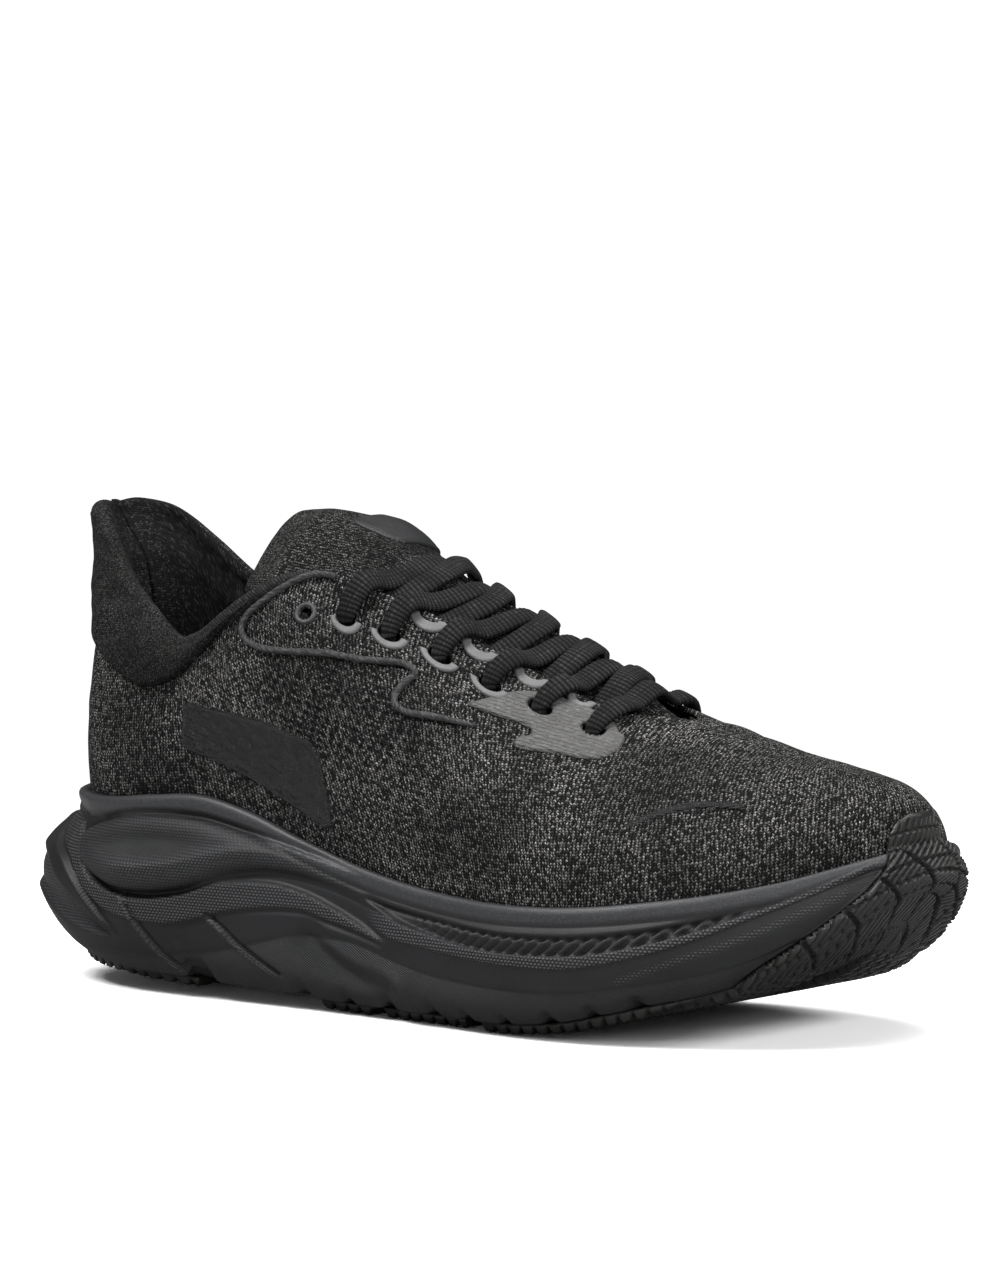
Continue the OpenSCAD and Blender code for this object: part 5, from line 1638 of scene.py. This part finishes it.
def lozenges(x, y, dist):
    """Low lozenge relief and a raised border."""
    a, b = (x + y * 0.55) / 7.6, (x * -0.25 + y) / 6.4
    far = np.abs(a - np.floor(a) - 0.5) + np.abs(b - np.floor(b) - 0.5)
    return 0.42 * ramp(0.42, 0.34, far) * ramp(1.6, 2.6, dist) + 0.22 * bell(dist - 0.7, 0.5)


def side_badge(side, place):
    """Plain slanted badge."""
    loop = []
    for x1, y1, x2, y2 in ((0.06, 0, 0.94, 0), (1, 0.1, 1, 0.9), (0.94, 1, 0.06, 1),
                           (0, 0.9, 0, 0.1)):
        for part in np.linspace(0, 1, 9):
            x, y = x1 + (x2 - x1) * part, y1 + (y2 - y1) * part
            loop.append((3.72 + x * 1.42 + y * 0.12, (0.31 + 0.32 * y) - 0.19 * x))
    film(f"side_badge_{place}", loop, [], FILM_DARK, top=0.62, res=0.55, edge=0.5, side=side,
         replaces=[f"side_emblem_{place}"], relief=lozenges)


def toe_strip():
    """Plain strip on the lateral side of the toe."""
    t = np.linspace(0, 1, 16)
    line = np.c_[8.0 + 1.12 * t, 0.392 + 0.135 * np.sin(t * 1.75)]
    half_mm, rise_mm, width = 26, 90, 0.0155  # mm per unit of half and rise; width in rise
    way = unit(np.c_[-np.gradient(line[:, 1]) * rise_mm, np.gradient(line[:, 0]) * half_mm])
    off = way * [width * rise_mm / half_mm, width]
    loop = np.concatenate([line + off, line[::-1] - off[::-1]])
    film("toe_strip", loop, [], FILM_DARK, top=0.55, res=0.5, edge=0.5, side=-1,
         replaces=["toe_accent"])


# ---------------------------------------------------------------- tongue
def tongue_puff(x, across):
    return 0.6 * ramp(20, -30, x) * np.cos(across * math.pi / 2) ** 0.7


def tongue_band(x):
    """Raised band across the top of the tongue."""
    return 0.9 * bell(x + 55.0, 4.5) * ramp(-40, -50, x)


def tongue_wrinkles(pts):
    return soft(pts, seed=15, size=0.3, scale=24)


def build_tongue():
    nx, nu, roll = 170, 64, 10
    depth, end_bulge = 3.3, 3.1
    turns = np.r_[np.zeros(nx), np.linspace(0, math.pi / 2, roll + 1)[1:]]
    xs = np.r_[np.linspace(78, -60, nx), np.full(roll, -60.0)]
    across = np.linspace(-1, 1, nu)
    x, u = np.meshgrid(xs, across, indexing="ij")
    turn = np.repeat(turns[:, None], nu, 1)
    base = tongue_at(x, u)
    normal = tongue_normal(np.clip(x, -59.5, 79), u)
    end_way = unit(tongue_at(-60.0, across) - tongue_at(-58.0, across))
    taper = round_edge((1 - np.abs(u)) / 0.12)
    extra = tongue_puff(x, u) + tongue_band(x) + tongue_wrinkles(base)
    out = -3.1 + (depth + extra) * taper * np.cos(turn)
    inward = -3.1 - (depth + 0.25 * ramp(20, -30, x)) * taper * np.cos(turn)
    ext = end_way[None] * (end_bulge * np.sin(turn))[..., None]
    long = steps_along(base[:nx, nu // 2])
    long = np.r_[long, long[-1] + end_bulge * np.sin(turns[nx:])]
    wide = np.linalg.norm(np.diff(base, axis=1), axis=2)
    wide = np.cumsum(np.concatenate([np.zeros((nx + roll, 1)), wide], 1), axis=1)
    obj = two_skins("tongue_body", base + normal * out[..., None] + ext,
                    base + normal * inward[..., None] + ext, KNIT_TONGUE,
                    tx=flat(wide, np.repeat(long[:, None], nu, 1)), merge=0.01, recalc=True)
    # heel knit on the top end, lining underneath
    mesh = obj.data
    mesh.materials.append(KNIT_HEEL)
    mesh.materials.append(LINING)
    centre, facing = np.zeros(len(mesh.polygons) * 3), np.zeros(len(mesh.polygons) * 3)
    mesh.polygons.foreach_get("center", centre)
    mesh.polygons.foreach_get("normal", facing)
    x = centre.reshape(-1, 3)[:, 0] / MM
    over = (facing.reshape(-1, 3) * tongue_normal(np.clip(x, -59.5, 79), 0 * x)).sum(1) > 0
    index = np.where(~over, 2, np.where(x < -52.0, 1, 0)).astype(np.int32)
    mesh.polygons.foreach_set("material_index", index)
    put(obj, ["tongue_face", "tongue_foam", "tongue_lining"], body="tongue")


def build_tongue_label():
    """Blank label with rounded corners and a line pressed in near its border."""
    mid_x, half_x, mid_u, half_u = -37.0, 9.0, 0.31, 0.31
    x, u = np.meshgrid(np.linspace(mid_x - half_x, mid_x + half_x, 60),
                       np.linspace(mid_u - half_u, mid_u + half_u, 70), indexing="ij")
    x, u = (x - mid_x) / half_x, (u - mid_u) / half_u
    radius = (np.abs(x) ** 5 + np.abs(u) ** 5) ** (1 / 5)
    edge = 1 - radius
    # points outside the rounded outline are pulled onto it
    pull = np.where(edge < 0, 1 / np.maximum(radius, 1e-6), 1.0)
    x, u = mid_x + x * pull * half_x, mid_u + u * pull * half_u
    base, normal = tongue_at(x, u), tongue_normal(x, u)
    out = 0.2 + tongue_puff(x, u) + tongue_band(x) + tongue_wrinkles(base)
    face = out + 0.15 + 0.65 * round_edge(edge / 0.08) - 0.25 * bell(edge - 0.12, 0.02)
    near = edge > -0.06
    mask = near[:-1, :-1] & near[1:, 1:] & near[1:, :-1] & near[:-1, 1:]
    obj = two_skins("tongue_label_piece", base + normal * face[..., None],
                    base + normal * (out - 0.35)[..., None], LABEL, mask, tx=flat(u * 40, x),
                    mk=masks(np.clip(edge * 6, 0, 1)), merge=0.01, recalc=True)
    put(obj, ["tongue_label"], body="tongue")


# ---------------------------------------------------------------- lace
# A knot is (point, outward direction, half width, half thickness).
HALF_W, HALF_T = LACE_WIDTH / 2, LACE_THICKNESS / 2
LOW, HIGH = HALF_T + 0.9, LACE_THICKNESS * 1.5 + 1.6  # heights over the tongue
# How far each strap (1 to 5) has gone towards the next eyelet at the middle of the tongue.
OVER_SHARE = (0, 0.75, 0.75, 0.65, 0.55, 0.35)
UNDER_SHARE = (0, 1.2, 1.2, 1.1, 0.95, 0.8)


def upper_knot(lap, rise, out, half_w, half_t):
    return [*lift(lap, rise, np.array(out)).ravel(), *upper_normal(lap, rise), half_w, half_t]


def tongue_knot(i, share, across, out):
    """Knot over the tongue, `share` of the way from eyelet i to the next."""
    if i < 6:
        x = hermite(TOP_EDGE, EYELETS[i] + (EYELETS[i + 1] - EYELETS[i]) * share)[0, 0]
    else:
        x = 56.0 + share
    normal = tongue_normal(x, across)
    return [*(tongue_at(x, across) + normal * out), *normal, HALF_W, HALF_T * 1.15]


def out_of_eyelet(i, side):
    lap = lap_on(EYELETS[i], side)
    return [upper_knot(lap, 0.850, -1.4, 1.7, HALF_T * 0.9),
            upper_knot(lap, 0.862, 0.7, 2.5, HALF_T),
            upper_knot(lap - side * 0.03, 0.925, HALF_T + 1.2, HALF_W - 0.3, HALF_T * 1.1),
            upper_knot(lap - side * 0.085, 1.0, HALF_T + 1.8, HALF_W, HALF_T * 1.1)]


def strap(i, side):
    """From under the throat edge on the other side, over the tongue, into eyelet i."""
    here, ahead = lap_on(EYELETS[i], -side), lap_on(EYELETS[i + 1], -side)
    ends = [upper_knot(here * 0.2 + ahead * 0.8, 0.93, -2.6 - HALF_T, HALF_W - 1.5,
                       HALF_T - 0.1),
            upper_knot(here * 0.4 + ahead * 0.6, 1.0, -2.0 - HALF_T, HALF_W - 0.7, HALF_T)]
    share = OVER_SHARE[i] if side < 0 else UNDER_SHARE[i]
    if side < 0:
        route = ((0.6, 0.65, LOW), (share * 0.5 + 0.3, 0.33, LOW), (share, 0, LOW + 0.6),
                 (share * 0.5, -0.42, LOW + 1.6))
    else:
        route = ((0.66, -0.6, LOW + 0.4), (share * 0.92, -0.14, LOW + 1.1),
                 (share * 0.68, 0.2, HIGH - 0.6), (share * 0.3, 0.5, HIGH + 1.0))
    return ends + [tongue_knot(i, *spot) for spot in route] + out_of_eyelet(i, side)[::-1]


def strand(side):
    """One end of the lace, crossing over at each eyelet."""
    out = []
    for i in range(5, 0, -1):
        out += strap(i, -side if i % 2 else side)
    return out


def tail(side):
    """Lace end tucked under the upper."""
    return [upper_knot(lap_on(half, side), rise, -KNIT_DEPTH - 1.6 - HALF_T, half_w,
                       HALF_T - 0.1)
            for half, rise, half_w in ((5.71, 0.862, 1.5), (5.56, 0.885, 1.6),
                                       (5.42, 0.89, 1.5), (5.36, 0.872, 1.4))]


def averaged(data, size):
    """Columns smoothed with a bell window of odd size."""
    window = np.hanning(size)
    window /= window.sum()
    return np.stack([np.convolve(np.pad(col, size // 2, mode="edge"), window, "valid")
                     for col in data.T], 1)


def build_lace():
    bar = [tongue_knot(6, 0.4, -0.35, LOW + 2), tongue_knot(6, 1.2, 0, LOW + 1.6),
           tongue_knot(6, 0.4, 0.35, LOW + 2)]
    bar = out_of_eyelet(6, -1) + bar + out_of_eyelet(6, 1)[::-1]
    knots = (strand(-1) + tail(1))[::-1] + bar + strand(1) + tail(-1)
    line = spline(knots, count=24)
    dist = steps_along(line[:, :3])
    along = np.linspace(0, dist[-1], int(dist[-1] / 0.27))
    line = np.stack([np.interp(along, dist, col) for col in line.T], 1)
    # soften the straps, but not where the lace is narrowed at an eyelet
    free = np.clip(line[:, 6] - 2.4, 0, 1)[:, None]
    line = line * (1 - free) + averaged(line, 31) * free
    path = line[:, :3]
    way = unit(np.gradient(path, axis=0))
    # keep the width direction steady along the path
    wide = np.cross(way, unit(line[:, 3:6]))
    for i in range(1, len(wide)):
        if wide[i] @ wide[i - 1] < 0:
            wide[i] = -wide[i]
    wide = averaged(wide, 41)
    wide = unit(wide - (wide * way).sum(1)[:, None] * way)
    rib = 0.5 + 0.5 * np.cos(2 * math.pi * along / LACE_RIB)
    obj = sweep("lace_piece", path, np.cross(wide, way), line[:, 6] * (0.985 + 0.02 * rib),
                line[:, 7] * (0.86 + 0.17 * rib), LACE, ns=22, power=2.7,
                red=ramp(0.15, 0.8, rib))
    put(obj, ["lace"])


# ---------------------------------------------------------------- inside
def build_sock():
    """Cloth over the sockliner."""
    n = 300
    lap = np.arange(n) * (LAPS / n)
    # (in from the feather line, above the footbed)
    rings = [bed(lap, inward, above) for inward, above in (
        (8.2, 7.25), (7.6, 7.35), (7.3, 7.7), (7.6, 8.1), (8.6, 8.2))]
    edge = rings[-1]
    middle = spine(edge[:, 0], -108, 100)
    for inward in (0.03, 0.07, 0.12, 0.2, 0.3, 0.4, 0.5, 0.6, 0.7, 0.8, 0.9, 0.96):
        plan = edge[:, :2] * (1 - inward) + middle * inward
        joined = ramp(0, 0.2, inward)
        z = (bed_z(plan[:, 0]) + 8.2) * joined + edge[:, 2] * (1 - joined)
        rings.append(np.c_[plan, z + 0.12 * noise_mm(np.c_[plan, z], seed=21, scale=30)])
    rings = np.array(rings)
    obj = rings_piece("sock_cover", rings, SOCK_CLOTH, rings)
    put(obj, ["sockliner_cover"], body="sockliner")


def finish_cad_pieces():
    """CAD pieces whose mesh stays get a finished material."""
    for name, mat in (("strobel_board", BOARD), ("sockliner_foam", SOCK_FOAM),
                      ("toe_puff", STIFFENER), ("heel_counter", STIFFENER),
                      ("lace_tip_lateral", LACE_TIP), ("lace_tip_medial", LACE_TIP)):
        NODES[name].data.materials.clear()
        NODES[name].data.materials.append(mat)


# ---------------------------------------------------------------- stage, light and camera
BACKDROP = 1.05  # brightness of the backdrop seen by the camera


def stage_material():
    """Pale floor that fades into the backdrop away from the shoe."""
    g = new_graph("stage_white")
    pos = g.place()
    x, y, _ = g.xyz(pos)
    camera_ray = g.node("ShaderNodeLightPath", {})
    pale = g.mix(g.noise(pos, scale=0.004), grey(2.05), grey(2.12))
    floor = g.principled(g.mix(camera_ray, grey(0.34), pale), 0.9, spec=0.1)
    radius = (x * x + y * y).pow(0.5)
    glow = g.node("ShaderNodeEmission", {1: BACKDROP})
    return g.output(g.mix_shader(radius.ease(230.0, 620.0) * camera_ray, floor, glow))


def build_stage():
    """Round floor just below the ground."""
    count, level = 64, -0.05
    turns = np.linspace(0, 2 * math.pi, count + 1)[:-1]
    pts = [(0, 0, level)]
    for radius in (300, 900, 2600, 9000):
        pts += [(radius * math.cos(turn), radius * math.sin(turn), level) for turn in turns]
    i = np.arange(count)
    beside = (i + 1) % count
    tris = np.stack([0 * i, 1 + i, 1 + beside], -1)
    quads = [np.stack([at + i, at + count + i, at + count + beside, at + beside], -1)
             for at in (1, 1 + count, 1 + 2 * count)]
    make("stage_floor", pts, np.concatenate(quads), stage_material(), tris=tris)


def build_world():
    """Dim white light on the shoe, bright white for the camera."""
    world = bpy.data.worlds.new("stage_world")
    bpy.context.scene.world = world
    g = Graph(world)
    white = (1, 1, 1, 1)
    dim = g.node("ShaderNodeBackground", {0: white, 1: 0.08})
    bright = g.node("ShaderNodeBackground", {0: white, 1: BACKDROP})
    camera_ray = g.node("ShaderNodeLightPath", {})
    g.output(g.mix_shader(camera_ray, dim, bright), "ShaderNodeOutputWorld")


def area_light(name, place, target, size, power):
    """Rectangular light; places and sizes in metres, power in watts."""
    light = bpy.data.lights.new(name, "AREA")
    light.shape = "RECTANGLE"
    light.size, light.size_y = size
    light.energy = power
    obj = bpy.data.objects.new(name, light)
    obj.location = place
    obj.rotation_mode = "QUATERNION"
    obj.rotation_quaternion = (Vector(place) - Vector(target)).to_track_quat("Z", "Y")
    bpy.context.scene.collection.objects.link(obj)


def build_camera():
    """Long lens, low, looking from the lateral side towards the heel."""
    azimuth, elevation = math.radians(37.0), math.radians(4.509214621809437)
    distance = 1.8
    target = Vector((0.006152712591533973, 0.004636401492468884, 0.10487686173649814))
    back = Vector((math.sin(azimuth) * math.cos(elevation),
                   -math.cos(azimuth) * math.cos(elevation), math.sin(elevation)))
    camera = bpy.data.cameras.new("camera")
    camera.sensor_width = 36
    camera.lens = 181.7004075603
    camera.clip_start, camera.clip_end = 0.05, 50
    obj = bpy.data.objects.new("camera", camera)
    obj.location = target + back * distance
    obj.rotation_mode = "QUATERNION"
    obj.rotation_quaternion = (-back).to_track_quat("-Z", "Y")
    scene = bpy.context.scene
    scene.collection.objects.link(obj)
    scene.camera = obj
    scene.view_settings.view_transform = "Standard"
    scene.view_settings.look = "None"


# ---------------------------------------------------------------- build
build_sole()
# (place, first lap, last lap, outer edge, inner edge as a share across the sole)
for pod in (("heel_lateral", 0.75, 3.78, 0.03, 0.37), ("heel_medial", 0.75, 3.78, 0.97, 0.63),
            ("mid_lateral_1", 4.92, 5.4, 0.03, 0.3), ("mid_lateral_2", 5.5, 6.3, 0.03, 0.3),
            ("mid_medial", 4.92, 6.25, 0.97, 0.7), ("forefoot_lateral", 6.5, 9.5, 0.02, 0.4),
            ("forefoot_medial", 6.5, 9.5, 0.98, 0.6)):
    tread_pod(*pod)
build_toe_rubber()
build_upper()
build_collar()
build_collar_padding()
for which in SIDES:
    build_binding(*which)
build_vamp_lining()
for which in SIDES:
    for build in (eyelet_films, edge_films, throat_film, piping, side_badge):
        build(*which)
toe_strip()
build_tongue()
build_tongue_label()
build_lace()
build_sock()
finish_cad_pieces()
build_stage()
build_world()
area_light("key", (-0.50, -0.75, 1.35), target=(0, 0, 0.05), size=(0.7, 0.5), power=18)
area_light("top", (0.1, 0.30, 1.4), target=(0, 0, 0.05), size=(1.2, 0.8), power=12)
area_light("fill", (1.25, -0.75, 0.75), target=(0.05, 0, 0.05), size=(0.8, 0.7), power=5)
area_light("low", (0.5, -1.4, 0.22), target=(0, 0, 0.04), size=(1.2, 0.3), power=2.0)
area_light("rim", (1.2, 0.35, 0.8), target=(0.1, 0, 0.06), size=(0.45, 0.45), power=7.5)
build_camera()
